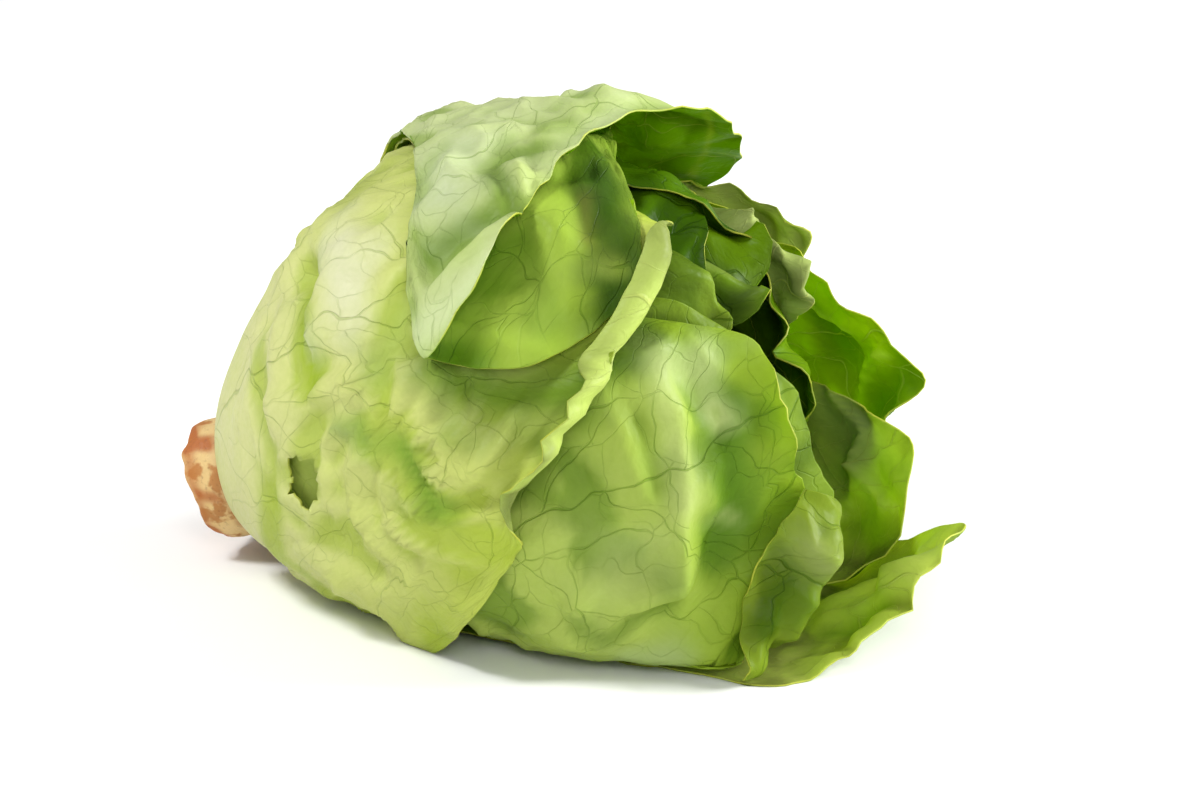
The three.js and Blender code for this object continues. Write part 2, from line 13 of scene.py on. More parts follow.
import bpy
import numpy as np
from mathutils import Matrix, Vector


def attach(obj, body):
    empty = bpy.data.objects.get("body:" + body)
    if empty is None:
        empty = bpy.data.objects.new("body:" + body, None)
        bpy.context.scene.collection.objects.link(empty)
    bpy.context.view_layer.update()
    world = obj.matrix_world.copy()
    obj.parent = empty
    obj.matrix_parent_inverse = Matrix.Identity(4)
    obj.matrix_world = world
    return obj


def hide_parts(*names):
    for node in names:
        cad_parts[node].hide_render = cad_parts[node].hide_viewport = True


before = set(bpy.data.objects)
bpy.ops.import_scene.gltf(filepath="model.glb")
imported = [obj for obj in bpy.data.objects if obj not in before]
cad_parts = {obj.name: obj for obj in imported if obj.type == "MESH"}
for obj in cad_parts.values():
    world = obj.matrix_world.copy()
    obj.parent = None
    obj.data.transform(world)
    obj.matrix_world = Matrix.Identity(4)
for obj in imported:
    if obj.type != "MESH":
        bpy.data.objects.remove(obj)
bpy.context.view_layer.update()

LOG = logging.getLogger("lettuce")
Array = np.ndarray
Colour = tuple[int, int, int]
Tint = tuple[float, float, float, float]
Points = tuple[tuple[float, ...], ...]
Socket = bpy.types.NodeSocket
Material = bpy.types.Material

MM = 0.001
TINY = 1e-9
LEAST_SLOPE = 1e-3
BODY = "root"

# Leaves: blade thickness, and the share of the way out from which it thins toward the rim
BLADE = 0.7
RIM_BLADE = 0.45
THIN_FROM = 0.85

# Laying: the step from layer to layer, the clear gap between two blades, and how a blade settles
LAYER_STEP = 0.8
CLEAR_GAP = 0.75
SETTLE_PASSES = 5
SETTLE_BLUR = 2.0
MAP_STEP_DEG = 1.5
HEART_COLLAR_DEG = 42.0

# How finely an inner leaf is divided, how rows and columns are spaced, and a face's corners turned over
HEART_ROWS = 70
HEART_COLUMNS = 96
ROW_POWER = 1.3
EVEN_SHARE = 0.75
RIM_SAMPLES = 800
TURNED_OVER = [0, 3, 2, 1]

# A leaf's belly, the ripple and the small teeth of its rim, and the least curl in radians that rolls it
BELLY_AT = 0.8
BELLY_SPAN = 0.15
FINE_RIPPLE = 0.6
FINE_RIPPLE_TIMES = 2.3
RIPPLE_SHIFTS = (0.13, 0.37)
RIPPLE_POWER = 4
TEETH_DEG = 0.2
TOOTH_LENGTH = 7.0
TEETH_FROM = (0.02, 0.1)
LEAST_CURL = 0.02

# The broad swelling of a blade: height, wavelength, number of plane waves and the steps between them
SWELL_HEIGHT = 0.8
SWELL_LENGTH = 34.0
SWELL_WAVES = 10
SWELL_TURN = 2.39996
SWELL_SPREAD = (0.7, 0.8)
SWELL_LENGTH_STEPS = (0.618, 0.37)
SWELL_PHASE_STEPS = (0.7548, 0.5698)
SWELL_GROWTH = 2.5

# Creases: wavelengths of crumples, wrinkles and rim frill, and where each sets in on the way out
CRUMPLE_LENGTHS = (50.0, 25.0)
FINE_CRUMPLE = 0.5
CRUMPLE_FROM = (0.08, 0.45)
WRINKLE_LENGTH = 15.0
WRINKLE_LEVEL = 0.45
WRINKLE_FROM = (0.1, 0.5)
CALM_FROM = (0.7, 0.86)
FRILL_LENGTH = 13.0
FRILL_POWER = 9

# Folds: how sharp they are, how their sides meet, and how far joints and normals are smoothed
FOLD_POWER = 1.3
FOLD_SIDES = (-0.9, 0.9)
JOINT_BLUR = 2.0
NORMAL_BLUR = 1.0

# Puckers and tears: the twist and fall of a pucker's folds, its dimple, and the border of a tear
PUCKER_TWIST = 0.5
PUCKER_TWISTS = 3
PUCKER_POWER = 1.5
PUCKER_CLEAR = (0.05, 0.3)
DIMPLE_SPAN = 0.35
TEAR_WAVES = ((0.16, 2, 0.6), (0.12, 5, 2.0), (0.07, 9, 1.0))
LIP_SPAN = 0.7
LIP_LEAN = (0.6, 0.4)
LIP_EVEN = 0.1
TEAR_SNAP = 0.16

# Colours: where each sets in on the way out or by the height of the creases, and how strongly; the hollows of
# the creases get painted shade
BODY_FROM = (0.05, 0.6)
RIM_FROM = (0.6, 1.0)
LEVEL_BLUR = 9.0
HOLLOW_SHADE = 0.65
HOLLOW_SHADE_FROM = (0.3, -1.5)
INNER_FOOT = 0.5
INNER_FOOT_TO = (0.7, 0.1)
INNER_SHADE = 0.45
INNER_SHADE_FROM = (-0.3, 1.5)
STAIN_AND_LIGHT_ROUGH = 0.22
STAIN_AND_LIGHT_LENGTH = 14.0

# The flat coordinates of a blade: millimetres in a unit, and the steps from leaf to leaf
UV_UNIT = 100.0
UV_REPEAT = 7.0
UV_SHIFT = 0.37

# Side veins leave the midrib at even steps, slant toward the rim and take turns on its two sides
SIDE_VEIN_STEP = 0.34
SIDE_VEIN_SLANT = 0.9
SIDE_VEIN_SHIFT = 0.07

# The relief of the finishes: heights of the parts that are added, strength, and depths in metres
INNER_VEIN_HEIGHT = 0.6
QUILT_HEIGHT = 1.1
GRAIN_HEIGHT = 0.25
BUMP_STRENGTH = 0.6
LEAF_BUMP_DEPTH = 0.0008
STEM_BUMP_DEPTH = 0.0005


class Slot(Enum):
    """The record's material slots."""

    STEM = "cut_stem"
    PALE = "pale_leaf"
    GREEN = "green_leaf"
    DEEP = "deep_leaf"
    HEART = "heart_leaf"


class Draw(IntEnum):
    """Seeds of the random draws; a leaf's own seed is added to those of a leaf."""

    CRUMPLE = 11
    FINE_CRUMPLE = 12
    WRINKLE = 13
    FRILL = 14
    STEM_LUMPS = 61
    STEM_GRAIN = 62
    STEM_SCARS = 63
    STEM_BANDS = 64
    TEETH = 70
    STAIN = 80
    CORE_RIDGES = 91
    CORE_EDGES = 92


def linear(colour: Colour) -> Array:
    """Turns a display colour into linear light, by the usual curve for screens."""
    share = np.asarray(colour, float) / 255.0
    return np.where(share <= 0.04045, share / 12.92, ((share + 0.055) / 1.055) ** 2.4)


def unit(vectors: Array) -> Array:
    """Scales vectors to length one."""
    return vectors / np.maximum(np.linalg.norm(vectors, axis=-1, keepdims=True), TINY)


def smoothstep(low: float, high: float, value: Array) -> Array:
    """Rises smoothly from 0 at low to 1 at high."""
    share = np.clip((value - low) / (high - low), 0.0, 1.0)
    return share * share * (3.0 - 2.0 * share)


def bell(value: Array, middle: float, span: float) -> Array:
    """Gives a bell-shaped share: one at the middle, falling away over the span on both sides."""
    return np.exp(-(((value - middle) / span) ** 2))


def blend(first: Array | float, second: Array | float, share: Array) -> Array:
    """Goes in a straight line from one value to another."""
    return first + (second - first) * share


def blurred(field: Array, spread: float) -> Array:
    """Blurs a grid along both of its axes with a Gaussian weight.

    Args:
        field: Rows and columns of numbers.
        spread: The Gaussian's standard deviation in cells.

    Returns:
        The blurred grid, of the same shape.
    """
    reach = int(math.ceil(3 * spread))
    weights = np.exp(-0.5 * (np.arange(-reach, reach + 1) / spread) ** 2)
    weights /= weights.sum()
    for axis in (0, 1):
        pad = [(reach, reach) if axis == side else (0, 0) for side in (0, 1)]
        padded = np.pad(field, pad, mode="edge")
        windows = np.lib.stride_tricks.sliding_window_view(padded, 2 * reach + 1, axis=axis)
        field = windows @ weights
    return field


def spline(points: Points, share: Array, width: int) -> Array:
    """Reads a smooth Catmull-Rom curve through rows of numbers.

    Args:
        points: Rows of numbers; a short row is filled up with zeros.
        share: Shares of the curve's length from 0 to 1.
        width: How many numbers each row has once filled up.

    Returns:
        One row of numbers for each share.
    """
    rows = np.array([tuple(row) + (0.0,) * (width - len(row)) for row in points], float)
    before = 2 * rows[:1] - rows[1:2]
    after = 2 * rows[-1:] - rows[-2:-1]
    knots = np.vstack([before, rows, after])
    at = np.clip(share, 0.0, 1.0) * (len(rows) - 1)
    index = np.minimum(at.astype(int), len(rows) - 2)
    part = (at - index)[:, None]
    a, b, c, d = (knots[index + step] for step in range(4))
    square = (2 * a - 5 * b + 4 * c - d) * part**2
    cube = (3 * b - a - 3 * c + d) * part**3
    return 0.5 * (2 * b + (c - a) * part + square + cube)


@dataclass(frozen=True)
class WaveNoise:
    """Smooth seeded noise: a sum of plane waves in random directions.

    Attributes:
        seed: The seed of the random draw.
        length: The usual wavelength in millimetres.
        waves: How many waves are added.
        spread: The least and the greatest wavelength as shares of the usual one.
    """

    seed: int
    length: float
    waves: int = 26
    spread: tuple[float, float] = (0.7, 1.5)

    def at(self, points: Array) -> Array:
        """Adds sines of each point's distance along each wave, over the root of half their number.

        Args:
            points: Points in millimetres on the last axis.

        Returns:
            The noise at each point, mostly from -2 to 2.
        """
        draw = np.random.default_rng(self.seed)
        ways = unit(draw.normal(size=(self.waves, 3)))
        ways *= 2 * np.pi / (self.length * draw.uniform(*self.spread, (self.waves, 1)))
        phase = draw.uniform(0, 2 * np.pi, self.waves)
        return np.sin(points @ ways.T + phase).sum(-1) / math.sqrt(self.waves / 2)


@dataclass(frozen=True)
class Head:
    """The ball that the leaves wrap, and the angles that place them on it.

    Attributes:
        centre: The head's centre in the part's frame.
        tilt_deg: How far the axis rises toward the crown.
        floor_depth: How far the ground lies under the centre.
        ball: The ball's radius.
        neck: How far the ball is drawn out toward the stem.
        neck_span: The angle in radians over which the neck fades.
        sag: How far the ball sags downward.
        sag_angle: The angle from the stem in radians where it sags most.
        sag_span: The angle over which the sag fades.
        shoulder: How far the ball stands out on top.
        shoulder_angle: The angle from the stem in radians where it stands out most.
        shoulder_span: The angle over which the shoulder fades.
        underside: How far under the centre the ball is flattened.
        sharpness: How sharply the ball turns into its flat underside.
        core_sunk: How far the heart's core lies under the ball.
        crown_sunk: How much further it lies under the crown.
        crown_deg: The angles from the stem between which it sinks there.
    """

    centre: tuple[float, float, float] = (-0.75, 3.62, 52.35)
    tilt_deg: float = 19.0
    floor_depth: float = 52.0
    ball: float = 66.0
    neck: float = 27.0
    neck_span: float = 0.64
    sag: float = 8.0
    sag_angle: float = 1.55
    sag_span: float = 0.5
    shoulder: float = 5.0
    shoulder_angle: float = 1.05
    shoulder_span: float = 0.5
    underside: float = 44.0
    sharpness: float = 10.0
    core_sunk: float = 13.0
    crown_sunk: float = 16.0
    crown_deg: tuple[float, float] = (105.0, 150.0)

    def axes(self) -> tuple[Array, Array, Array]:
        """Gives the head's three directions.

        Returns:
            The axis toward the crown, the front, and the upright across the axis.
        """
        tilt = math.radians(self.tilt_deg)
        axis = np.array([math.cos(tilt), 0.0, math.sin(tilt)])
        front = np.array([0.0, -1.0, 0.0])
        north = np.array([-math.sin(tilt), 0.0, math.cos(tilt)])
        return axis, front, north

    def direction(self, round_deg: Array, from_stem_deg: Array) -> Array:
        """Points away from the centre at two angles.

        Args:
            round_deg: Angle round the axis, 0 at the front and 90 on top.
            from_stem_deg: Angle from the stem, 180 at the crown.

        Returns:
            Unit vectors.
        """
        axis, front, north = self.axes()
        turn = np.radians(round_deg)[..., None]
        away = np.radians(from_stem_deg)[..., None]
        return -np.cos(away) * axis + np.sin(away) * (np.cos(turn) * front + np.sin(turn) * north)

    def polar(self, points: Array) -> tuple[Array, Array, Array]:
        """Gives the two angles and the distance of points.

        Args:
            points: Points about the centre.

        Returns:
            Angle round the axis, angle from the stem, both in degrees, and distance.
        """
        axis, front, north = self.axes()
        ahead, side, up = points @ axis, points @ front, points @ north
        from_stem = np.degrees(np.arctan2(np.hypot(side, up), -ahead))
        return np.degrees(np.arctan2(up, side)), from_stem, np.linalg.norm(points, axis=-1)

    def radius(self, way: Array) -> Array:
        """Gives how far the ball reaches: a round with a neck, a sag and a shoulder, cut soft and flat below.

        Args:
            way: Unit vectors.

        Returns:
            The distance in each direction.
        """
        axis, _, north = self.axes()
        away = np.arccos(np.clip(-(way @ axis), -1.0, 1.0))
        neck = self.neck * bell(away, 0.0, self.neck_span)
        upward = way @ north
        sag = self.sag * np.maximum(-upward, 0) * bell(away, self.sag_angle, self.sag_span)
        hump = bell(away, self.shoulder_angle, self.shoulder_span)
        shoulder = self.shoulder * np.maximum(upward, 0) * hump
        flat = self.underside / np.maximum(-way[..., 2], LEAST_SLOPE)
        power = -self.sharpness
        return ((self.ball + neck + sag + shoulder) ** power + flat**power) ** (1 / power)

    def core(self, way: Array) -> Array:
        """Gives how far the heart's core reaches: under its leaves, and sunk further under the crown.

        Args:
            way: Unit vectors.

        Returns:
            The distance in each direction.
        """
        _, from_stem, _ = self.polar(way)
        neck = self.neck * bell(np.radians(from_stem), 0.0, self.neck_span)
        sunk = self.core_sunk + self.crown_sunk * smoothstep(*self.crown_deg, from_stem)
        return self.radius(way) - neck - sunk


HEAD = Head()


class ReachMap:
    """How far out the leaves already laid reach, kept by direction in small square cells."""

    def __init__(self) -> None:
        """Starts with nothing laid."""
        self.cells = np.zeros((int(180 / MAP_STEP_DEG) + 1, int(360 / MAP_STEP_DEG)))

    def at(self, round_deg: Array, from_stem_deg: Array) -> Array:
        """Reads the map between its cells.

        Args:
            round_deg: Angles round the axis.
            from_stem_deg: Angles from the stem.

        Returns:
            The reach in each direction.
        """
        rows, columns = self.cells.shape
        down = np.clip(from_stem_deg / MAP_STEP_DEG, 0, rows - 1.001)
        over = (round_deg % 360) / MAP_STEP_DEG
        row, column = down.astype(int), over.astype(int) % columns
        part, share = down - row, over - np.floor(over)
        after = (column + 1) % columns
        near = self.cells[row, column] * (1 - share) + self.cells[row, after] * share
        far = self.cells[row + 1, column] * (1 - share) + self.cells[row + 1, after] * share
        return near * (1 - part) + far * part

    def lay(self, points: Array) -> None:
        """Raises every cell that a blade passes over, and the cells round it.

        Args:
            points: The blade's middle surface.
        """
        fine = np.repeat(points, 2, axis=1)
        fine[:, 1:-1:2] = 0.5 * (points[:, :-1] + points[:, 1:])
        round_deg, from_stem, reach = HEAD.polar(fine.reshape(-1, 3))
        rows, columns = self.cells.shape
        row = np.clip(np.round(from_stem / MAP_STEP_DEG).astype(int), 0, rows - 1)
        column = np.round((round_deg % 360) / MAP_STEP_DEG).astype(int) % columns
        fresh = np.zeros_like(self.cells)
        np.maximum.at(fresh, (row, column), reach + BLADE)
        for step in (-1, 1):
            fresh = np.maximum(fresh, np.roll(fresh, step, axis=1))
        padded = np.pad(fresh, ((1, 1), (0, 0)), mode="edge")
        for step in (0, 2):
            fresh = np.maximum(fresh, padded[step : step + rows])
        self.cells = np.maximum(self.cells, fresh)


def line_distance(leaf: "Leaf", points: Array, path: Points) -> tuple[Array, Array]:
    """Measures how far each point lies from a line on a blade, and on which side of it.

    Args:
        leaf: The leaf that the line lies on.
        points: The blade's surface.
        path: The line's points as shares across the leaf and out from its foot.

    Returns:
        The distance, and a share that is one on the right side seen along the line from outside.
    """
    knots = np.array([leaf.point_at(points, across, out) for across, out in path])
    distances = []
    sides = []
    for start, end in zip(knots[:-1], knots[1:]):
        along = end - start
        share = np.clip(((points - start) @ along) / (along @ along), 0.0, 1.0)
        offset = points - start - share[..., None] * along
        far = np.linalg.norm(offset, axis=-1)
        beside = offset @ np.cross(unit(along), unit(start))
        distances.append(far)
        sides.append(smoothstep(*FOLD_SIDES, beside / np.maximum(far, TINY)))
    best = np.min(distances, axis=0)
    weights = np.exp((best - distances) / JOINT_BLUR)
    right = (weights * sides).sum(axis=0) / weights.sum(axis=0)
    return best, right


@dataclass(frozen=True)
class Fold:
    """A ridge or a groove along a line on a blade.

    Attributes:
        path: Points on the leaf as shares across it and out from its foot.
        height: How high the ridge stands, or below zero how deep the groove is.
        width: How far its left side spreads, looking along the line from outside.
        lee: How far its right side spreads, the same as the left one where it is zero.
    """

    path: Points
    height: float
    width: float
    lee: float = 0.0

    def lift(self, leaf: "Leaf", points: Array) -> Array:
        """Gives a lift that falls away from the line, slow on its left and by the lee on its right.

        Args:
            leaf: The leaf that the line lies on.
            points: The blade's surface.

        Returns:
            How far each point moves outward.
        """
        best, right = line_distance(leaf, points, self.path)
        width = blend(self.width, self.lee or self.width, right)
        return self.height * np.exp(-((best / width) ** FOLD_POWER))


@dataclass(frozen=True)
class StainAndPaintedLight:
    """A soft patch of another colour along a line on one face of a blade: most are painted shade in grooves
    and hollows, painted shadows and painted highlights; a few are real marks, a bruise and light vein lines.

    Attributes:
        path: Points on the leaf as shares across it and out from its foot.
        colour: The patch's colour.
        width: How far it spreads.
        share: How strongly it covers.
        inside: True when it lies on the inner face.
    """

    path: Points
    colour: Colour
    width: float
    share: float
    inside: bool = False

    def cover(self, leaf: "Leaf", points: Array) -> Array:
        """Gives a bell-shaped cover by the distance from the line, broken up by soft noise.

        Args:
            leaf: The leaf that the line lies on.
            points: The blade's surface.

        Returns:
            The cover at each point.
        """
        best, _ = line_distance(leaf, points, self.path)
        rough = 1.0 + STAIN_AND_LIGHT_ROUGH * WaveNoise(leaf.seed + Draw.STAIN, STAIN_AND_LIGHT_LENGTH).at(points)
        return self.share * bell(best * rough, 0.0, self.width)


@dataclass(frozen=True)
class Pucker:
    """A dimple that draws a blade into folds round it like a star.

    Attributes:
        at: Its place as shares across the leaf and out from its foot.
        depth: How deep it sinks.
        reach: How far its folds run.
        arms: How many folds leave it.
        height: How high the folds stand.
        turn_deg: The angle of the first fold.
    """

    at: tuple[float, float]
    depth: float
    reach: float
    arms: int
    height: float
    turn_deg: float = 0.0

    def lift(self, leaf: "Leaf", points: Array) -> Array:
        """Gives a bell-shaped dimple with sharp-crested folds by the angle about it.

        Args:
            leaf: The leaf that the dimple lies on.
            points: The blade's surface.

        Returns:
            How far each point moves outward.
        """
        middle = leaf.point_at(points, *self.at)
        upright = unit(middle)
        first = unit(np.cross(upright, np.array([0.0, 0.0, 1.0])))
        second = np.cross(upright, first)
        offset = points - middle
        x, y = offset @ first, offset @ second
        far = np.hypot(x, y) / self.reach
        twist = PUCKER_TWIST * np.sin(PUCKER_TWISTS * far)
        angle = np.arctan2(y, x) + math.radians(self.turn_deg) + twist
        crests = 1.0 - 2.0 * np.abs(np.sin(0.5 * self.arms * angle))
        arms = self.height * crests * far * np.exp(1 - far**PUCKER_POWER)
        return arms * smoothstep(*PUCKER_CLEAR, far) - self.depth * bell(far, 0.0, DIMPLE_SPAN)


@dataclass(frozen=True)
class Tear:
    """A ragged hole through a blade.

    Attributes:
        at: Its place as shares across the leaf and out from its foot.
        across: Its half size across the leaf.
        along: Its half size along the leaf.
        lip: How far its border stands out.
    """

    at: tuple[float, float]
    across: float
    along: float
    lip: float

    def radius(self, angle: Array) -> Array:
        """Gives the ragged outline as a share of the mean size: a sum of three cosines."""
        return 1.0 + sum(height * np.cos(times * angle + shift) for height, times, shift in TEAR_WAVES)


@dataclass(frozen=True)
class LeafColours:
    """The colours of a leaf's two faces, as display values.

    Attributes:
        foot: The outer face near the stem.
        body: The outer face half way out.
        rim: The outer face near the rim.
        hollow_shade: The outer face in its hollows, a painted shade.
        inner: The inner face.
    """

    foot: Colour
    body: Colour
    rim: Colour
    hollow_shade: Colour
    inner: Colour


@dataclass(frozen=True)
class Blade:
    """A blade's arrays, before it is turned into a mesh.

    Attributes:
        points: The middle surface as rows from foot to rim.
        normals: Its outward normals.
        flat: The distance across and along the leaf of each point.
        outer: The outer face's colours.
        inner: The inner face's colours.
        kept: Which cells the blade has.
    """

    points: Array
    normals: Array
    flat: Array
    outer: Array
    inner: Array
    kept: Array


@dataclass(frozen=True)
class Leaf:
    """One leaf: where it starts, where its rim lies and how its blade is creased.

    Attributes:
        name: The piece's name.
        base: The span of angles round the stem where the leaf starts.
        rim: Rim points: angle round the axis, angle from the stem, lift off the ball, curl, belly.
        seed: The seed of its swelling and crumples.
        colours: Its colours.
        slot: The material slot it belongs to.
        collar: The angle from the stem where it starts.
        layer: Which layer it lies in, counted outward.
        depth: How far it lies under the ball.
        floor: The least height of its middle surface above the ground.
        strip: The width of the strip along its rim that curls.
        power: How late on the way out the rim's lift sets in.
        wave: The height of the rim's ripple.
        waves: How many ripples run along the rim.
        mid: Optional angles that the blade passes over half way out.
        crumple: The height of its broad ridged crumples.
        wrinkle: The height of its small wrinkles.
        frill: The height of the fine frill at its rim.
        folds: Its ridges and grooves.
        puckers: Its dimples.
        tears: Its holes.
        stains_and_painted_light: Its patches of other colours: painted shade, painted shadows and painted
            highlights, and a few real marks such as a bruise and vein lines.
        rows: How many points it has from foot to rim.
        columns: How many points it has from side to side.
    """

    name: str
    base: tuple[float, float]
    rim: Points
    seed: int
    colours: LeafColours
    slot: Slot
    collar: float = HEART_COLLAR_DEG
    layer: float = 0.0
    depth: float = 0.0
    floor: float = 0.0
    strip: float = 9.0
    power: float = 3.0
    wave: float = 1.0
    waves: int = 3
    mid: Points = ()
    crumple: float = 2.2
    wrinkle: float = 0.9
    frill: float = 0.5
    folds: tuple[Fold, ...] = ()
    puckers: tuple[Pucker, ...] = ()
    tears: tuple[Tear, ...] = ()
    stains_and_painted_light: tuple[StainAndPaintedLight, ...] = ()
    rows: int = 100
    columns: int = 140

    def shares(self) -> tuple[Array, Array]:
        """Spaces the grid: rows close up toward the rim, columns follow the rim's length.

        Returns:
            Shares out from the foot and shares across the leaf.
        """
        out = 1.0 - (1.0 - np.linspace(0.0, 1.0, self.rows)) ** ROW_POWER
        fine = np.linspace(0.0, 1.0, RIM_SAMPLES)
        angles = spline(self.rim, fine, 5)
        steps = np.linalg.norm(np.diff(HEAD.direction(angles[:, 0], angles[:, 1]), axis=0), axis=-1)
        length = np.concatenate([[0.0], np.cumsum(steps)])
        plain = np.linspace(0.0, 1.0, self.columns)
        return out, blend(plain, np.interp(plain, length / length[-1], fine), EVEN_SHARE)

    def point_at(self, points: Array, across: float, out: float) -> Array:
        """Finds the surface point nearest to shares across and out."""
        rows, columns = self.shares()
        return points[np.abs(rows - out).argmin(), np.abs(columns - across).argmin()]

    def swelling(self, points: Array) -> Array:
        """Gives the broad swelling: a sum of plane waves spread evenly over all directions.

        Args:
            points: The blade's surface.

        Returns:
            The swelling at each point.
        """
        wave = np.arange(SWELL_WAVES)
        height = 1 - 2 * (wave + 0.5) / SWELL_WAVES
        turn = SWELL_TURN * wave + self.seed
        level = np.sqrt(1 - height**2)
        longer = (SWELL_LENGTH_STEPS[0] * wave + SWELL_LENGTH_STEPS[1] * self.seed) % 1
        length = SWELL_LENGTH * (SWELL_SPREAD[0] + SWELL_SPREAD[1] * longer)
        phase = (SWELL_PHASE_STEPS[0] * wave + SWELL_PHASE_STEPS[1] * self.seed) % 1
        ways = np.stack([level * np.cos(turn), level * np.sin(turn), height], axis=-1)
        sines = np.sin(2 * np.pi * ((points @ ways.T) / length + phase))
        return sines.sum(-1) / math.sqrt(SWELL_WAVES / 2)

    def surface(self) -> Array:
        """Lays the middle surface from foot to rim over the ball.

        Each column is a quadratic curve of directions from the foot over the bend to the rim. Its reach is
        the ball's, plus the layer, the rim's lift by a power of the way out, a belly and a rim ripple.

        Returns:
            Rows of points from foot to rim.
        """
        out, across = self.shares()
        round_deg, from_stem, lift, _, belly = spline(self.rim, across, 5).T
        start = self.base[0] + (self.base[1] - self.base[0]) * across
        foot = HEAD.direction(start, np.full_like(start, self.collar))
        smooth = HEAD.direction(round_deg, from_stem) * HEAD.ball
        teeth = TEETH_DEG * WaveNoise(self.seed + Draw.TEETH, TOOTH_LENGTH).at(smooth)
        edge = HEAD.direction(round_deg, from_stem + teeth * smoothstep(*TEETH_FROM, across * (1 - across)))
        bend = unit(foot + edge)
        if self.mid:
            bend = HEAD.direction(*spline(self.mid, across, 2).T)
        u = out[:, None]
        share = u[..., None]
        way = unit((1 - share) ** 2 * foot + 2 * share * (1 - share) * bend + share**2 * edge)
        shift, fine_shift = (step * self.seed for step in RIPPLE_SHIFTS)
        ripple = np.sin(2 * np.pi * (self.waves * across + shift))
        ripple += FINE_RIPPLE * np.sin(2 * np.pi * (FINE_RIPPLE_TIMES * self.waves * across + fine_shift))
        reach = HEAD.radius(way) - self.depth + self.layer * LAYER_STEP
        reach += lift * u**self.power + belly * bell(u, BELLY_AT, BELLY_SPAN)
        reach += self.wave * ripple * u**RIPPLE_POWER
        reach += SWELL_HEIGHT * np.minimum(SWELL_GROWTH * u, 1.0) * self.swelling(way * reach[..., None])
        return way * reach[..., None]

    def relief(self, points: Array) -> Array:
        """Gives the creases of the blade: a sum of crumples, wrinkles, a frilled rim, folds and puckers.

        Crumples and wrinkles are one less the size of a noise, so that they have sharp ridges.

        Args:
            points: The blade's surface.

        Returns:
            How far each point moves outward.
        """
        out = self.shares()[0][:, None]
        broad, fine = (
            1.0 - np.abs(WaveNoise(self.seed + draw, length).at(points))
            for draw, length in zip((Draw.CRUMPLE, Draw.FINE_CRUMPLE), CRUMPLE_LENGTHS)
        )
        height = self.crumple * (broad + FINE_CRUMPLE * fine) * smoothstep(*CRUMPLE_FROM, out)
        wrinkled = WRINKLE_LEVEL - np.abs(WaveNoise(self.seed + Draw.WRINKLE, WRINKLE_LENGTH).at(points))
        calm = 1.0 - (1.0 - min(self.frill, 1.0)) * smoothstep(*CALM_FROM, out)
        height = height + self.wrinkle * wrinkled * smoothstep(*WRINKLE_FROM, out) * calm
        frilled = WaveNoise(self.seed + Draw.FRILL, FRILL_LENGTH).at(points)
        height = height + self.frill * frilled * out**FRILL_POWER
        for mark in self.folds + self.puckers:
            height = height + mark.lift(self, points)
        return height

    def curled(self, points: Array) -> Array:
        """Rolls the outermost strip of the blade with an even bend, outward where the curl is above zero.

        Args:
            points: The blade's surface.

        Returns:
            The rolled surface.
        """
        _, across = self.shares()
        curl = np.radians(spline(self.rim, across, 5)[:, 3])
        steps = np.linalg.norm(np.diff(points, axis=0), axis=-1)
        length = np.vstack([np.zeros(self.columns), np.cumsum(steps, axis=0)])
        start = length[-1] - self.strip
        index = np.clip((length < start).sum(0) - 1, 1, self.rows - 2)
        column = np.arange(self.columns)
        along = unit(points[index + 1, column] - points[index - 1, column])
        outward = unit(points[index, column])
        outward = unit(outward - (outward * along).sum(-1, keepdims=True) * along)
        straight = np.abs(curl) < LEAST_CURL
        bend = np.where(straight, LEAST_CURL, curl) / self.strip
        rolled = np.maximum(length - start, 0.0)
        slide = np.sin(bend * rolled) / bend - rolled
        rise = (1 - np.cos(bend * rolled)) / bend
        moved = points + slide[..., None] * along + rise[..., None] * outward
        return np.where(straight[None, :, None], points, moved)

    def settled(self, points: Array, below: ReachMap) -> Array:
        """Pushes the blade outward until it clears the leaves under it, and keeps it above the ground.

        Args:
            points: The blade's surface.
            below: The leaves already laid.

        Returns:
            The settled surface.
        """
        for turn in range(SETTLE_PASSES):
            round_deg, from_stem, reach = HEAD.polar(points)
            short = np.maximum(below.at(round_deg, from_stem) + CLEAR_GAP - reach, 0.0)
            push = blurred(short, SETTLE_BLUR) if turn + 1 < SETTLE_PASSES else short
            points = points * (1 + push / reach)[..., None]
            points[..., 2] = np.maximum(points[..., 2], self.floor - HEAD.floor_depth)
        return points

    def laid(self, below: ReachMap) -> Blade:
        """Lays the leaf over all before it.

        Args:
            below: The leaves already laid; it is raised by this one.

        Returns:
            The finished blade.
        """
        plain = self.surface()
        height = self.relief(plain)
        flat = plain * (1 + height / np.linalg.norm(plain, axis=-1))[..., None]
        points = self.settled(self.curled(flat), below)
        below.lay(self.settled(flat, below))
        spread = self.spread(points)
        kept = np.ones((self.rows - 1, self.columns - 1), bool)
        for tear in self.tears:
            points, kept = self.torn(points, spread, kept, tear)
        normals = self.outward(points)
        outer, inner = self.tints(plain, height)
        return Blade(points, normals, spread, outer, inner, kept)

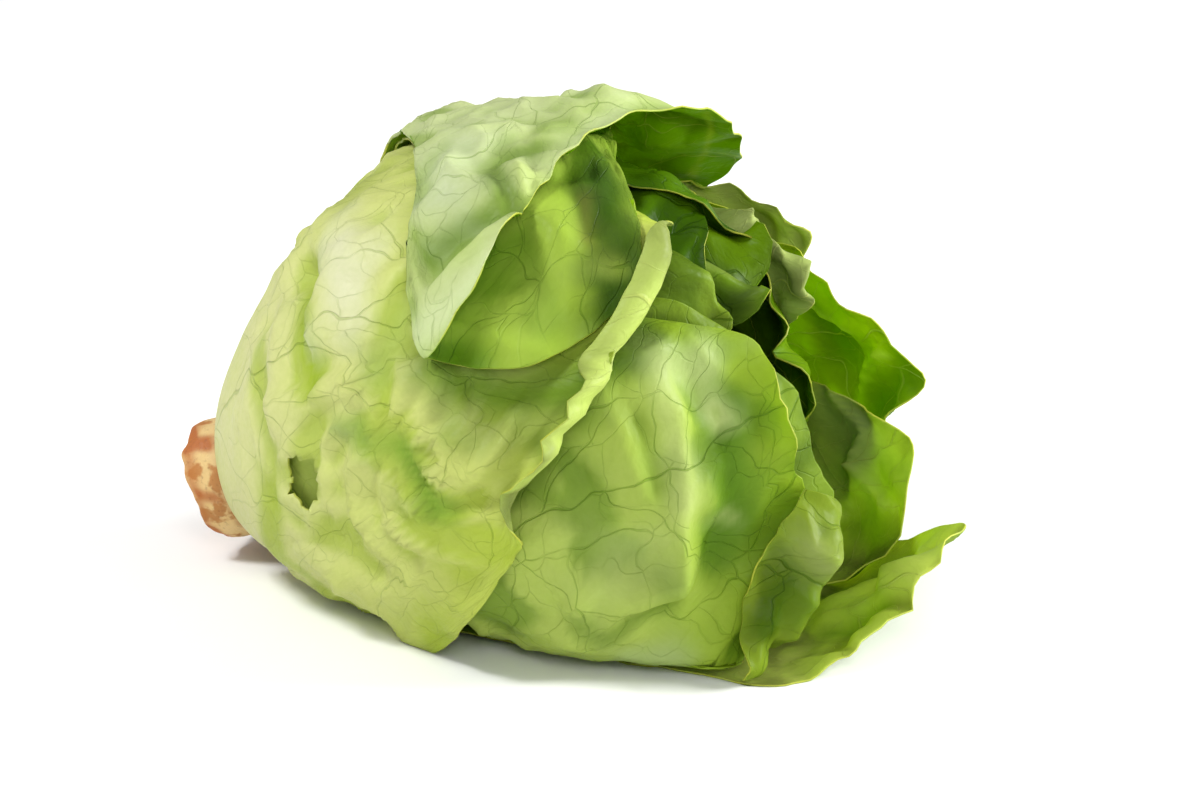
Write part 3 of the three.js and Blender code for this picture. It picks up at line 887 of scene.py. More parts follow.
    def torn(self, points: Array, spread: Array, kept: Array, tear: Tear) -> tuple[Array, Array]:
        """Cuts a ragged hole, with the points near its outline drawn onto it and its border lifted.

        Args:
            points: The blade's surface.
            spread: The distances across and along the leaf.
            kept: Which cells the blade has so far.
            tear: The hole.

        Returns:
            The moved points and the cells left.
        """
        rows, columns = self.shares()
        row = np.abs(rows - tear.at[1]).argmin()
        column = np.abs(columns - tear.at[0]).argmin()
        offset = (spread - spread[row, column]) / np.array([tear.across, tear.along])
        far = np.hypot(offset[..., 0], offset[..., 1])
        outline = tear.radius(np.arctan2(offset[..., 1], offset[..., 0]))
        beyond = far / outline
        lean = LIP_LEAN[0] - LIP_LEAN[1] * offset[..., 0] / (far + LIP_EVEN)
        raised = tear.lip * bell(beyond, 1.0, LIP_SPAN) * lean
        points = points * (1 + raised / np.linalg.norm(points, axis=-1))[..., None]
        near = np.abs(beyond - 1) < TEAR_SNAP
        pull = np.where(near, 1 / np.maximum(beyond, 1 - TEAR_SNAP) - 1, 0.0)
        middle = points[row, column]
        points = points + pull[..., None] * (points - middle)
        inside = (beyond < 1.0) & ~near
        corners = inside[:-1, :-1] | inside[1:, :-1] | inside[:-1, 1:] | inside[1:, 1:]
        return points, kept & ~corners

    def spread(self, points: Array) -> Array:
        """Measures the distance across the leaf from its middle and along it from its foot.

        Args:
            points: The blade's surface.

        Returns:
            The two distances at each point.
        """
        across = np.linalg.norm(np.diff(points, axis=1), axis=-1)
        over = np.hstack([np.zeros((self.rows, 1)), np.cumsum(across, axis=1)])
        over = over - over[:, self.columns // 2][:, None]
        along = np.linalg.norm(np.diff(points, axis=0), axis=-1)
        out = np.vstack([np.zeros((1, self.columns)), np.cumsum(along, axis=0)])
        return np.stack([over, out], axis=-1)

    def outward(self, points: Array) -> Array:
        """Gives the normals of the smoothed surface, turned away from the head.

        Args:
            points: The blade's surface.

        Returns:
            Unit normals.
        """
        smooth = np.stack([blurred(points[..., axis], NORMAL_BLUR) for axis in range(3)], axis=-1)
        normals = unit(np.cross(np.gradient(smooth, axis=0), np.gradient(smooth, axis=1)))
        middle = normals[: self.rows // 2]
        facing = (middle * points[: self.rows // 2]).sum(-1).mean()
        return normals * np.sign(facing)

    def tints(self, points: Array, height: Array) -> tuple[Array, Array]:
        """Mixes the colours of both faces by the way out, with painted shade in the hollows of the creases,
        and lays on the patches of painted light and real stains.

        Args:
            points: The blade's surface before it is creased.
            height: The height of the creases.

        Returns:
            The outer and the inner face's linear colours.
        """
        out = np.broadcast_to(self.shares()[0][:, None], height.shape)[..., None]
        colours = self.colours
        outer = blend(linear(colours.foot), linear(colours.body), smoothstep(*BODY_FROM, out))
        outer = blend(outer, linear(colours.rim), smoothstep(*RIM_FROM, out))
        # Painted shade: the hollows of the creases darken the outer face, and the ridges, which are hollows
        # seen from inside, darken the inner face
        level = (height - blurred(height, LEVEL_BLUR))[..., None]
        outer = blend(outer, linear(colours.hollow_shade), HOLLOW_SHADE * smoothstep(*HOLLOW_SHADE_FROM, level))
        foot_share = INNER_FOOT * smoothstep(*INNER_FOOT_TO, out)
        inner = blend(linear(colours.inner), linear(colours.foot), foot_share)
        inner = inner * (1.0 - INNER_SHADE * smoothstep(*INNER_SHADE_FROM, level))
        for stain_and_light in self.stains_and_painted_light:
            cover = stain_and_light.cover(self, points)[..., None]
            if stain_and_light.inside:
                inner = blend(inner, linear(stain_and_light.colour), cover)
            else:
                outer = blend(outer, linear(stain_and_light.colour), cover)
        return outer, inner


@dataclass(frozen=True)
class Ramp:
    """A smooth change of a value from one range to another.

    Attributes:
        low: Where it starts.
        high: Where it ends.
        start: The result at the start.
        end: The result at the end.
    """

    low: float
    high: float
    start: float
    end: float


# The midrib's and the side veins' strength by the distance from their lines, and how side veins fade
MIDRIB = Ramp(0.001, 0.004, 1.0, 0.0)
SIDE_VEIN = Ramp(0.003, 0.011, 0.8, 0.0)
SIDE_VEIN_FADES = Ramp(0.0, 0.7, 1.0, 0.25)


@dataclass(frozen=True)
class Noise:
    """A soft random pattern.

    Attributes:
        scale: How many patches fit in a unit.
        detail: How many times a finer pattern is added.
    """

    scale: float
    detail: float


@dataclass(frozen=True)
class Net:
    """A net of lines along the borders of cells.

    Attributes:
        scale: How many cells fit in a unit.
        thin: The half width of a full line.
        wide: The half width where a line has faded out.
    """

    scale: float
    thin: float
    wide: float


@dataclass(frozen=True)
class Nodes:
    """A short way to add shader nodes to a tree.

    Attributes:
        tree: The node tree.
    """

    tree: bpy.types.NodeTree

    def add(self, kind: str, inputs: dict | None = None, **settings: object) -> bpy.types.Node:
        """Adds a node, sets its properties and fills or links its inputs.

        Args:
            kind: The node's type name.
            inputs: Values or output sockets by input name or number.
            **settings: Properties of the node.

        Returns:
            The node.
        """
        node = self.tree.nodes.new(kind)
        for name, value in settings.items():
            setattr(node, name, value)
        for name, value in (inputs or {}).items():
            if isinstance(value, Socket):
                self.tree.links.new(value, node.inputs[name])
            else:
                node.inputs[name].default_value = value
        return node

    def maths(self, operation: str, *values: object) -> Socket:
        """Adds a maths node."""
        return self.add("ShaderNodeMath", dict(enumerate(values)), operation=operation).outputs[0]

    def ramp(self, value: Socket, ramp: Ramp) -> Socket:
        """Adds a smooth ramp from one range to another.

        Args:
            value: The socket to read.
            ramp: The two ranges.

        Returns:
            The result's socket.
        """
        ranges = {"From Min": ramp.low, "From Max": ramp.high, "To Min": ramp.start, "To Max": ramp.end}
        node = self.add("ShaderNodeMapRange", {"Value": value, **ranges}, interpolation_type="SMOOTHSTEP")
        return node.outputs[0]

    def mixed(self, share: object, first: object, second: object, blend: str = "MIX") -> Socket:
        """Adds a colour mix."""
        inputs = {0: share, 6: first, 7: second}
        return self.add("ShaderNodeMix", inputs, data_type="RGBA", blend_type=blend).outputs[2]

    def noise(self, place: Socket, noise: Noise, output: int | str = 0) -> Socket:
        """Adds a soft random pattern."""
        inputs = {"Vector": place, "Scale": noise.scale, "Detail": noise.detail}
        return self.add("ShaderNodeTexNoise", inputs).outputs[output]

    def stored(self, name: str, output: str) -> Socket:
        """Reads values stored with the mesh's points."""
        return self.add("ShaderNodeAttribute", attribute_name=name).outputs[output]

    def bump(self, height: Socket, strength: float, depth: float) -> Socket:
        """Bends the normal by a height."""
        inputs = {"Height": height, "Strength": strength, "Distance": depth}
        return self.add("ShaderNodeBump", inputs).outputs[0]

    def surface(self, shader: bpy.types.Node) -> None:
        """Gives a shader to the material's surface."""
        self.add("ShaderNodeOutputMaterial", {"Surface": shader.outputs[0]})

    def lit_through(self, share: float, skin: bpy.types.Node, shining: bpy.types.Node) -> None:
        """Gives the surface a mix of a skin and of light that shines through it."""
        self.surface(self.add("ShaderNodeMixShader", {0: share, 1: skin.outputs[0], 2: shining.outputs[0]}))


def fresh_material(name: str) -> tuple[Material, Nodes]:
    """Makes an empty node material.

    Args:
        name: Its name.

    Returns:
        The material and its node maker.
    """
    material = bpy.data.materials.new(name)
    material.use_nodes = True
    material.node_tree.nodes.clear()
    return material, Nodes(material.node_tree)


def rgba(colour: Colour) -> Tint:
    """Turns a display colour into the four linear values that a socket takes."""
    red, green, blue = linear(colour)
    return float(red), float(green), float(blue), 1.0


@dataclass(frozen=True)
class LeafFinish:
    """The finish of a leaf: the tint stored with its points, painted shade and highlights included, a net of
    veins, mottling, a waxy skin and light shining through.

    Attributes:
        name: The material's name.
        vein: How strongly the veins show.
        wax: How much the pale bloom covers the outer face.
        gloss: The skin's roughness.
        through: The share of light that the leaf lets through.
        shine: How strongly the skin mirrors.

    The fields after these are the same for all leaves.
    """

    name: str
    vein: float
    wax: float
    gloss: float
    through: float
    shine: float

    # Patterns: what bends the veins and how far, the broad and fine mottling, and small puckers
    drift: Noise = Noise(4.0, 2.0)
    drift_reach: float = 0.22
    blotch: Noise = Noise(6.0, 3.0)
    grain: Noise = Noise(60.0, 4.0)
    quilt: Noise = Noise(17.0, 2.5)

    # The larger and the smaller veins, and how both come and go with the blotches
    broad_net: Net = Net(2.7, 0.003, 0.0085)
    fine_net: Net = Net(8.0, 0.006, 0.02)
    broad_shows: Ramp = Ramp(0.36, 0.6, 0.15, 0.85)
    fine_shows: Ramp = Ramp(0.62, 0.4, 0.05, 0.4)

    # How the blotches and the grain darken the leaf and by which colours, and the pale bloom
    blotch_shade: Ramp = Ramp(0.35, 0.7, 0.0, 0.3)
    grain_shade: Ramp = Ramp(0.3, 0.75, 0.0, 0.22)
    bloom_shows: Ramp = Ramp(0.75, 0.35, 0.3, 1.0)
    blotch_tint: Tint = (0.93, 1.0, 0.72, 1.0)
    grain_tint: Tint = (0.80, 0.86, 0.62, 1.0)
    bloom: Colour = (222, 230, 205)

    # The veins' shade on the outer face, their light colour on the inner one, and the light coming through
    vein_shade: Tint = (0.52, 0.66, 0.32, 1.0)
    vein_light: Colour = (214, 222, 120)
    vein_cover: float = 0.55
    glow: Tint = (1.0, 1.0, 0.4, 1.0)

    def build(self) -> Material:
        """Builds the material.

        Returns:
            The material.
        """
        material, nodes = fresh_material(self.name)
        place = nodes.add("ShaderNodeUVMap", uv_map="blade").outputs[0]
        inner = nodes.stored("inner", "Fac")
        blotch = nodes.noise(place, self.blotch)
        grain = nodes.noise(place, self.grain)
        lines = self.veins(nodes, place, blotch)
        mottled = self.mottled(nodes, inner, blotch, grain)
        dark = nodes.mixed(1.0, mottled, self.vein_shade, "MULTIPLY")
        light = nodes.mixed(self.vein_cover, mottled, rgba(self.vein_light))
        vein = nodes.mixed(inner, dark, light)
        colour = nodes.mixed(nodes.maths("MULTIPLY", lines, self.vein), mottled, vein)
        normal = self.relief(nodes, lines, inner, grain, place)
        rough = nodes.ramp(grain, Ramp(0.25, 0.8, self.gloss - 0.06, self.gloss + 0.1))
        skin = nodes.add(
            "ShaderNodeBsdfPrincipled",
            {"Base Color": colour, "Roughness": rough, "Normal": normal, "Specular IOR Level": self.shine},
        )
        glow = nodes.mixed(1.0, colour, self.glow, "MULTIPLY")
        shining = nodes.add("ShaderNodeBsdfTranslucent", {"Color": glow, "Normal": normal})
        nodes.lit_through(self.through, skin, shining)
        return material

    def veins(self, nodes: Nodes, place: Socket, blotch: Socket) -> Socket:
        """Draws all veins: the ribs and two nets that come and go with the blotches.

        Args:
            nodes: The node maker.
            place: The leaf's flat coordinates.
            blotch: The blotches.

        Returns:
            The lines' strength.
        """
        bent = self.bent(nodes, place)
        main = self.ribs(nodes, bent)
        broad, fine = (
            nodes.maths("MULTIPLY", self.net(nodes, bent, net), nodes.ramp(blotch, shows))
            for net, shows in ((self.broad_net, self.broad_shows), (self.fine_net, self.fine_shows))
        )
        return nodes.maths("MAXIMUM", nodes.maths("MAXIMUM", main, broad), fine)

    def mottled(self, nodes: Nodes, inner: Socket, blotch: Socket, grain: Socket) -> Socket:
        """Mottles the tint stored with the leaf's points, painted shade and highlights included, and lays the
        pale bloom over its outer face.

        Args:
            nodes: The node maker.
            inner: One on the inner face.
            blotch: The blotches.
            grain: Fine noise.

        Returns:
            The mottled colour.
        """
        colour = nodes.stored("tint", "Color")
        colour = nodes.mixed(nodes.ramp(blotch, self.blotch_shade), colour, self.blotch_tint, "MULTIPLY")
        colour = nodes.mixed(nodes.ramp(grain, self.grain_shade), colour, self.grain_tint, "MULTIPLY")
        bloom = nodes.maths("MULTIPLY", nodes.ramp(blotch, self.bloom_shows), self.wax)
        bloom = nodes.maths("MULTIPLY", bloom, nodes.maths("SUBTRACT", 1.0, inner))
        return nodes.mixed(bloom, colour, rgba(self.bloom))

    def bent(self, nodes: Nodes, place: Socket) -> Socket:
        """Bends the leaf's own flat coordinates with noise, so that its veins wander.

        Args:
            nodes: The node maker.
            place: The flat coordinates.

        Returns:
            The bent coordinates.
        """
        drift = nodes.noise(place, self.drift, "Color")
        centred = nodes.add("ShaderNodeVectorMath", {0: drift, 1: (0.5, 0.5, 0.5)}, operation="SUBTRACT")
        reach = {0: centred.outputs[0], "Scale": self.drift_reach}
        scaled = nodes.add("ShaderNodeVectorMath", reach, operation="SCALE")
        return nodes.add("ShaderNodeVectorMath", {0: place, 1: scaled.outputs[0]}).outputs[0]

    def ribs(self, nodes: Nodes, place: Socket) -> Socket:
        """Draws the midrib and the side veins that leave it at even steps, slanting toward the rim.

        Args:
            nodes: The node maker.
            place: The coordinates to read.

        Returns:
            The lines' strength.
        """
        parts = nodes.add("ShaderNodeSeparateXYZ", {0: place})
        over = nodes.maths("WRAP", parts.outputs[0], UV_REPEAT / 2, -UV_REPEAT / 2)
        aside = nodes.maths("ABSOLUTE", over)
        midrib = nodes.ramp(aside, MIDRIB)
        slant = nodes.maths("MULTIPLY_ADD", aside, -SIDE_VEIN_SLANT, parts.outputs[1])
        shifted = nodes.maths("MULTIPLY_ADD", nodes.maths("SIGN", over), SIDE_VEIN_SHIFT, slant)
        step = nodes.maths("PINGPONG", nodes.maths("DIVIDE", shifted, SIDE_VEIN_STEP), 0.5)
        side = nodes.maths("MULTIPLY", nodes.ramp(step, SIDE_VEIN), nodes.ramp(aside, SIDE_VEIN_FADES))
        return nodes.maths("MAXIMUM", midrib, side)

    def net(self, nodes: Nodes, place: Socket, net: Net) -> Socket:
        """Draws a net of lines along the borders of cells.

        Args:
            nodes: The node maker.
            place: The coordinates to read.
            net: The net.

        Returns:
            The lines' strength.
        """
        cells = nodes.add(
            "ShaderNodeTexVoronoi",
            {"Vector": place, "Scale": net.scale},
            voronoi_dimensions="2D",
            feature="DISTANCE_TO_EDGE",
        )
        return nodes.ramp(cells.outputs["Distance"], Ramp(net.thin, net.wide, 1.0, 0.0))

    def relief(self, nodes: Nodes, lines: Socket, inner: Socket, grain: Socket, place: Socket) -> Socket:
        """Sinks the veins into the outer face, raises them on the inner face and adds small puckers.

        Args:
            nodes: The node maker.
            lines: The veins' strength.
            inner: One on the inner face.
            grain: Fine noise.
            place: The flat coordinates.

        Returns:
            The bumped normal.
        """
        side = nodes.maths("SUBTRACT", nodes.maths("MULTIPLY", inner, 1.0 + INNER_VEIN_HEIGHT), 1.0)
        sunk = nodes.maths("MULTIPLY", lines, side)
        height = nodes.maths("MULTIPLY_ADD", nodes.noise(place, self.quilt), QUILT_HEIGHT, sunk)
        height = nodes.maths("MULTIPLY_ADD", grain, GRAIN_HEIGHT, height)
        return nodes.bump(height, BUMP_STRENGTH, LEAF_BUMP_DEPTH)


@dataclass(frozen=True)
class RimFinish:
    """The thin yellow cut edge round a leaf.

    Attributes:
        name: The material's name.
        colour: The yellow.
        patch: The pattern by which the yellow comes and goes.
        shows: How it follows that pattern.
        rough: Its roughness.
        through: The share of light that it lets through.
    """

    name: str = "leaf_rim"
    colour: Colour = (198, 203, 62)
    patch: Noise = Noise(9.0, 3.0)
    shows: Ramp = Ramp(0.3, 0.62, 0.15, 0.9)
    rough: float = 0.5
    through: float = 0.3

    def build(self) -> Material:
        """Builds the material.

        Returns:
            The material.
        """
        material, nodes = fresh_material(self.name)
        place = nodes.add("ShaderNodeUVMap", uv_map="blade").outputs[0]
        patch = nodes.noise(place, self.patch)
        colour = nodes.mixed(nodes.ramp(patch, self.shows), nodes.stored("tint", "Color"), rgba(self.colour))
        skin = nodes.add("ShaderNodeBsdfPrincipled", {"Base Color": colour, "Roughness": self.rough})
        shining = nodes.add("ShaderNodeBsdfTranslucent", {"Color": colour})
        nodes.lit_through(self.through, skin, shining)
        return material


@dataclass(frozen=True)
class StemFinish:
    """The cut stem: cream flesh with orange-brown dried patches and pits.

    Attributes:
        name: The material's name.
        patch: The pattern of the dried patches.
        pit: The pattern of the pits.
        patch_shows: How the patches follow their pattern.
        pit_shows: How the pits follow their pattern.
        patch_colour: The patches' colour.
        pit_colour: The pits' colour.
        rough: How the roughness follows the patches.
        patch_height: How high the patches stand against the pits.
    """

    name: str = "cut_stem"
    patch: Noise = Noise(170.0, 5.0)
    pit: Noise = Noise(900.0, 3.0)
    patch_shows: Ramp = Ramp(0.5, 0.6, 0.0, 0.8)
    pit_shows: Ramp = Ramp(0.55, 0.75, 0.0, 0.35)
    patch_colour: Colour = (172, 104, 40)
    pit_colour: Colour = (120, 70, 36)
    rough: Ramp = Ramp(0.3, 0.7, 0.5, 0.8)
    patch_height: float = 1.5

    def build(self) -> Material:
        """Builds the material.

        Returns:
            The material.
        """
        material, nodes = fresh_material(self.name)
        place = nodes.add("ShaderNodeTexCoord").outputs["Object"]
        patch = nodes.noise(place, self.patch)
        pits = nodes.noise(place, self.pit)
        colour = nodes.stored("tint", "Color")
        colour = nodes.mixed(nodes.ramp(patch, self.patch_shows), colour, rgba(self.patch_colour))
        colour = nodes.mixed(nodes.ramp(pits, self.pit_shows), colour, rgba(self.pit_colour))
        height = nodes.maths("MULTIPLY_ADD", patch, self.patch_height, pits)
        normal = nodes.bump(height, BUMP_STRENGTH, STEM_BUMP_DEPTH)
        rough = nodes.ramp(patch, self.rough)
        skin = {"Base Color": colour, "Roughness": rough, "Normal": normal}
        nodes.surface(nodes.add("ShaderNodeBsdfPrincipled", skin))
        return material


FINISHES = {
    Slot.PALE: LeafFinish("pale_leaf", vein=0.42, wax=0.03, gloss=0.44, through=0.30, shine=0.14),
    Slot.GREEN: LeafFinish("green_leaf", vein=0.62, wax=0.02, gloss=0.42, through=0.34, shine=0.11),
    Slot.DEEP: LeafFinish("deep_leaf", vein=0.7, wax=0.0, gloss=0.36, through=0.65, shine=0.2),
    Slot.HEART: LeafFinish("heart_leaf", vein=0.7, wax=0.0, gloss=0.36, through=0.34, shine=0.1),
}
RIM = RimFinish()
STEM_FINISH = StemFinish()

# Colours of the leaves, from the pale outer wrappers to the deep ones at the open crown
# The fourth colour of each set is the painted shade of the outer face's hollows
PALE = LeafColours((233, 233, 172), (219, 226, 134), (194, 208, 90), (176, 198, 44), (190, 208, 108))
WAXY = LeafColours((224, 232, 166), (214, 226, 164), (196, 214, 128), (148, 178, 64), (122, 174, 0))
MIDDLE = LeafColours((196, 214, 104), (176, 206, 72), (164, 194, 60), (112, 156, 8), (134, 174, 10))
FRONT_RIGHT = LeafColours((204, 218, 110), (186, 206, 96), (156, 188, 34), (104, 144, 6), (146, 182, 10))
LOW = LeafColours((196, 210, 100), (178, 202, 70), (172, 198, 58), (116, 150, 10), (118, 150, 22))
CUP = LeafColours((196, 210, 100), (170, 194, 66), (164, 190, 56), (128, 160, 20), (228, 238, 120))
RIGHT = LeafColours((180, 200, 80), (146, 176, 40), (146, 176, 34), (116, 150, 14), (222, 236, 104))
FAR_RIGHT = LeafColours((180, 200, 80), (142, 182, 20), (142, 182, 10), (112, 156, 0), (188, 216, 30))
BACK_TOP = LeafColours((206, 218, 120), (172, 196, 80), (156, 186, 50), (136, 168, 30), (220, 232, 130))
# INNER and HEART_DEEP are darkened as painted shade of the heart's depths
INNER = LeafColours((140, 168, 46), (94, 130, 10), (108, 146, 10), (52, 88, 0), (84, 124, 0))
HEART_DEEP = LeafColours((110, 144, 28), (66, 106, 2), (84, 124, 6), (36, 70, 0), (74, 114, 0))
INNER_PALE = LeafColours((156, 176, 82), (118, 144, 50), (130, 158, 46), (76, 106, 14), (190, 208, 118))

HEART_LEAVES = (
    Leaf(
        "heart_low", (-130, -70), seed=41, depth=10, floor=9, strip=12, wave=1.5,
        colours=INNER, slot=Slot.HEART,
        rim=((-155, 62, 0), (-150, 110, 0), (-140, 146, 1), (-120, 160, 3, 20), (-95, 163, 4, -20),
             (-70, 158, 3, 20), (-58, 140, 1), (-50, 105, 0), (-45, 62, 0)),
    ),
    Leaf(
        "heart_far", (-195, -135), seed=42, depth=8, floor=9, strip=12, wave=1.5,
        colours=INNER, slot=Slot.HEART,
        rim=((-222, 62, 0), (-217, 110, 0), (-205, 146, 1), (-185, 160, 2, 40), (-160, 164, 3, -30),
             (-138, 158, 3, 30), (-126, 142, 1), (-118, 105, 0), (-112, 62, 0)),
    ),
    Leaf(
        "heart_stub", (-45, 15), seed=43, depth=7, floor=9, strip=12, wave=1.4,
        colours=INNER, slot=Slot.HEART,
        rim=((-66, 62, 0), (-60, 110, 0), (-48, 150, 1), (-25, 168, 3, 40), (0, 172, 4, 70),
             (24, 168, 3, 30), (38, 150, 1), (46, 105, 0), (52, 62, 0)),
    ),
    Leaf(
        "heart_curl", (40, 100), seed=44, depth=8, strip=13, wave=2.6, waves=4,
        colours=INNER, slot=Slot.HEART,
        folds=(
            Fold(((0.34, 0.74), (0.39, 0.96)), -4.0, 3.0),
            Fold(((0.42, 0.74), (0.46, 0.97)), 4.0, 3.0),
            Fold(((0.5, 0.74), (0.53, 0.97)), -4.0, 3.0),
            Fold(((0.58, 0.74), (0.6, 0.97)), 4.0, 3.0),
        ),
        stains_and_painted_light=(
            # Painted highlight on the middle ridge
            StainAndPaintedLight(((0.42, 0.78), (0.46, 0.97)), (176, 196, 100), 3.0, 0.7),
            # Painted shade in the groove
            StainAndPaintedLight(((0.34, 0.76), (0.39, 0.96)), (44, 76, 0), 3.0, 0.75),
            # Painted shade in the groove
            StainAndPaintedLight(((0.5, 0.76), (0.53, 0.96)), (44, 76, 0), 3.0, 0.75),
        ),
        rim=((22, 62, 0), (28, 110, 0), (36, 146, 1), (46, 163, 6, -60), (62, 168, 9, 90),
             (80, 166, 9, -50), (95, 160, 7, 90), (106, 146, 1), (114, 105, 0), (120, 62, 0)),
    ),
    Leaf(
        "heart_upright", (50, 92), seed=49, depth=5, wave=0.6, colours=HEART_DEEP, slot=Slot.HEART,
        rim=((44, 62, 0), (46, 105, 0), (46, 134, 3), (48, 149, 7), (60, 151, 9, 30), (72, 149, 9, 40),
             (84, 145, 8, 20), (90, 136, 3), (94, 105, 0), (98, 62, 0)),
    ),
    Leaf(
        "heart_round", (0, 58), seed=45, depth=7, strip=10, wave=0.8, colours=INNER_PALE, slot=Slot.HEART,
        rim=((-20, 62, 0), (-13, 105, 0), (-2, 134, 0), (14, 152, 2), (32, 158, 3, 30),
             (48, 153, 2, 20), (60, 136, 0), (68, 105, 0), (74, 62, 0)),
    ),
    Leaf(
        "heart_pale", (146, 182), seed=46, depth=4, strip=12, wave=1, colours=INNER_PALE, slot=Slot.HEART,
        rim=((132, 62, 0), (136, 105, 0), (142, 134, 2, 60), (150, 148, 4, 150), (161, 158, 4, 170),
             (173, 157, 3, 80), (184, 140, 0), (192, 100, 0), (197, 62, 0)),
    ),
    Leaf(
        "heart_long", (80, 118), seed=47, depth=6, wave=0.9, colours=HEART_DEEP, slot=Slot.HEART,
        rim=((66, 62, 0), (71, 90, 0), (75, 118, 7), (78, 136, 10), (83, 148, 11), (92, 156, 8),
             (102, 154, 2), (112, 142, 0), (120, 126, 0), (126, 95, 0), (130, 62, 0)),
    ),
    Leaf(
        "heart_edge", (-60, 0), seed=48, wave=0.6, floor=9, frill=0.3, colours=INNER_PALE, slot=Slot.HEART,
        rim=((-112, 62, 0), (-109, 100, 0), (-105, 126, 6), (-98, 137, 10), (-85, 148, 10), (-70, 156, 9),
             (-46, 164, 8), (-10, 165, 6), (22, 157, 4), (36, 140, 1), (41, 105, 0), (44, 62, 0)),
    ),
)

